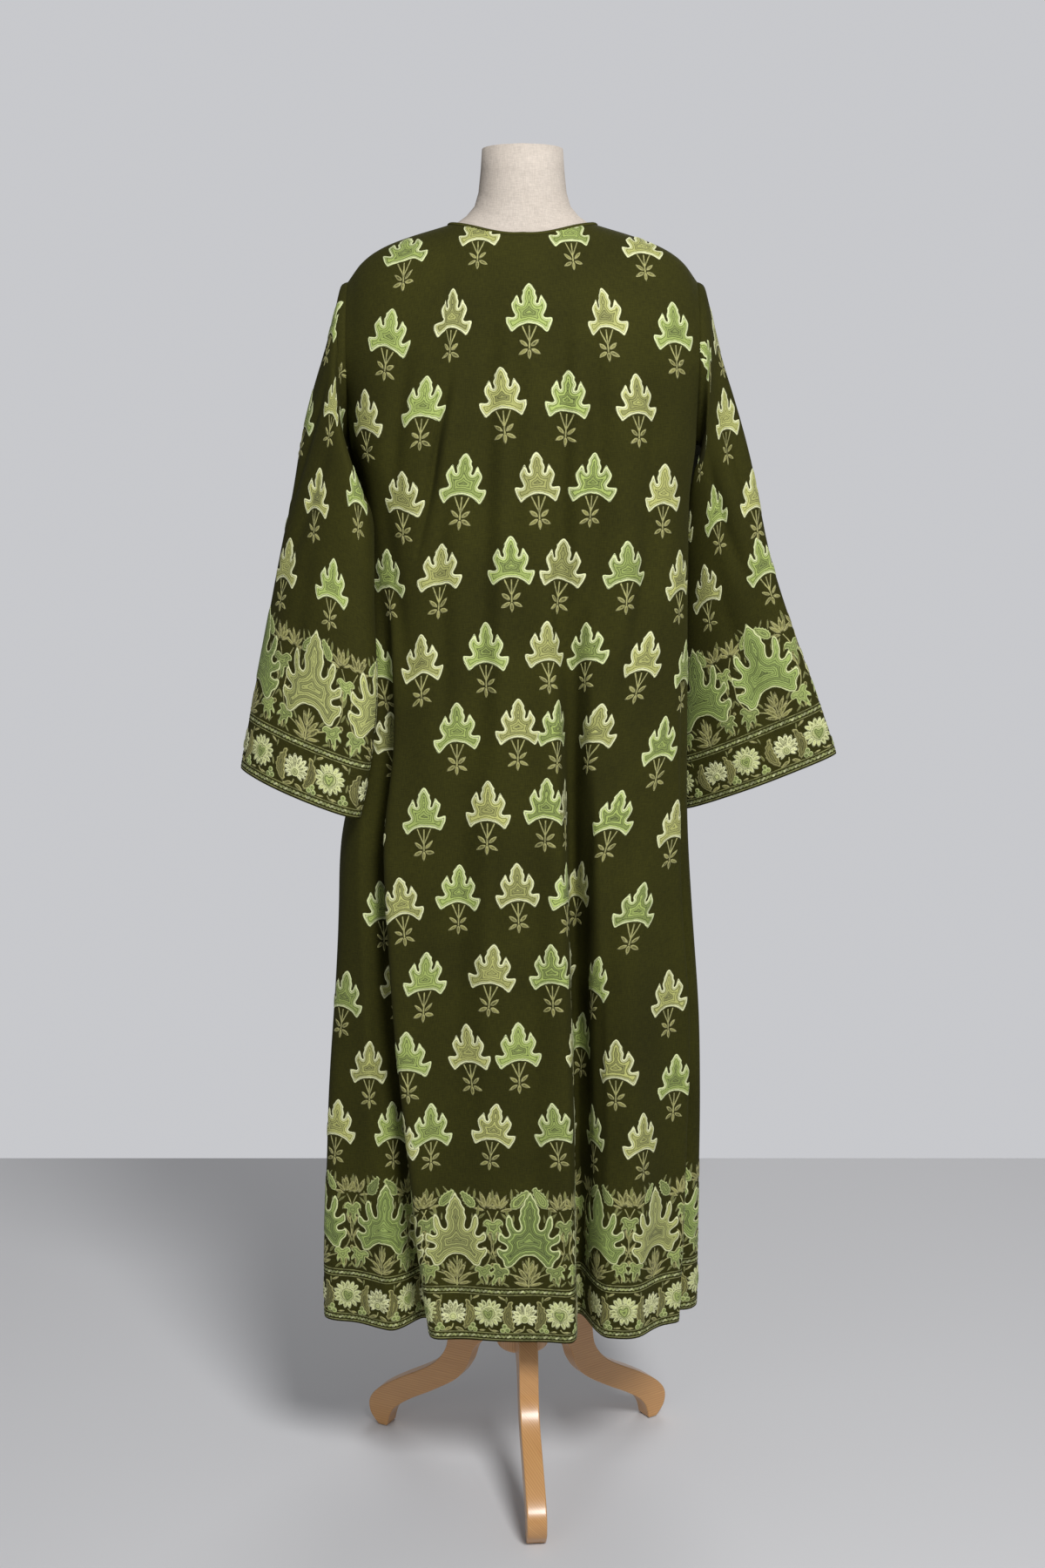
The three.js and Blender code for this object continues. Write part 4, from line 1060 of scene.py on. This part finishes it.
stand = {
    "stand_hub": turned_object("turned_hub", rounded_profile(HUB_RADIUS, HUB_BASE_Z, HUB_TOP_Z, 7)),
    "stand_pole": turned_object("turned_pole", rounded_profile(
        POLE_RADIUS, HUB_TOP_Z + SEAM_GAP, FORM_BASE_Z - SEAM_GAP, 0.5)),
}
for side, turn in LEG_TURNS.items():
    stand[f"stand_leg_{side}"] = leg_object(f"curved_leg_{side}", turn)
for node, made in stand.items():
    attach(made, "root")
    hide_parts(node)


# Floor, light and camera

def stage_material(name, code):
    material, tree, shader = new_material(name, Roughness=0.9)
    shader.inputs["Base Color"].default_value = linear(code)
    shader.inputs["Specular IOR Level"].default_value = 0.1
    return material


FLOOR_BEHIND, FLOOR_REACH = 1.18, 6.0
floor_points = np.array([
    (x, y, -0.001) for x, y in (
        (-FLOOR_REACH, -FLOOR_REACH), (FLOOR_REACH, -FLOOR_REACH),
        (FLOOR_REACH, FLOOR_BEHIND), (-FLOOR_REACH, FLOOR_BEHIND))])
floor = make_object("floor", floor_points, [(0, 1, 2, 3)], stage_material("Pale floor", "#cfcfd1"))

world = bpy.data.worlds.new("Studio")
bpy.context.scene.world = world
world.use_nodes = True
# The wall's brightness as seen, and as it lights the part
SEEN_WALL, WALL_LIGHT = 0.78, 0.28
seen = add(world.node_tree, "LightPath", {}, {}, "Is Camera Ray")
wall = add(world.node_tree, "MapRange", {}, {0: seen, 3: WALL_LIGHT, 4: SEEN_WALL})
world.node_tree.nodes["Background"].inputs[0].default_value = linear("#dfe0e4")
world.node_tree.links.new(wall, world.node_tree.nodes["Background"].inputs[1])
bpy.context.scene.view_settings.view_transform = "Standard"


def area_light(name, place, target, size, power):
    light = bpy.data.lights.new(name, "AREA")
    light.shape = "DISK"
    light.size = size
    light.energy = power
    made = bpy.data.objects.new(name, light)
    bpy.context.scene.collection.objects.link(made)
    made.location = place
    made.rotation_euler = (Vector(target) - Vector(place)).to_track_quat("-Z", "Y").to_euler()


area_light("key", (0.9, -2.6, 3.2), (0, 0, 0.9), 1.1, 122)
area_light("fill", (-1.8, -2.8, 1.6), (0, 0, 0.7), 1.6, 9)
area_light("back", (0.5, 2.8, 2.8), (0, 0, 1.1), 2.0, 30)

# Camera height, distance and downward tilt as solved from the photo
CAMERA_HEIGHT, CAMERA_DISTANCE, CAMERA_TILT, CAMERA_LENS = 1.36, 2.51192, 9.5366, 45.0
camera = bpy.data.cameras.new("camera")
camera.lens = CAMERA_LENS
camera.sensor_width = 36.0
seat = bpy.data.objects.new("camera", camera)
bpy.context.scene.collection.objects.link(seat)
seat.location = (AXIS[0], AXIS[1] - CAMERA_DISTANCE, CAMERA_HEIGHT)
seat.rotation_euler = (math.radians(90 - CAMERA_TILT), 0, 0)
bpy.context.scene.camera = seat
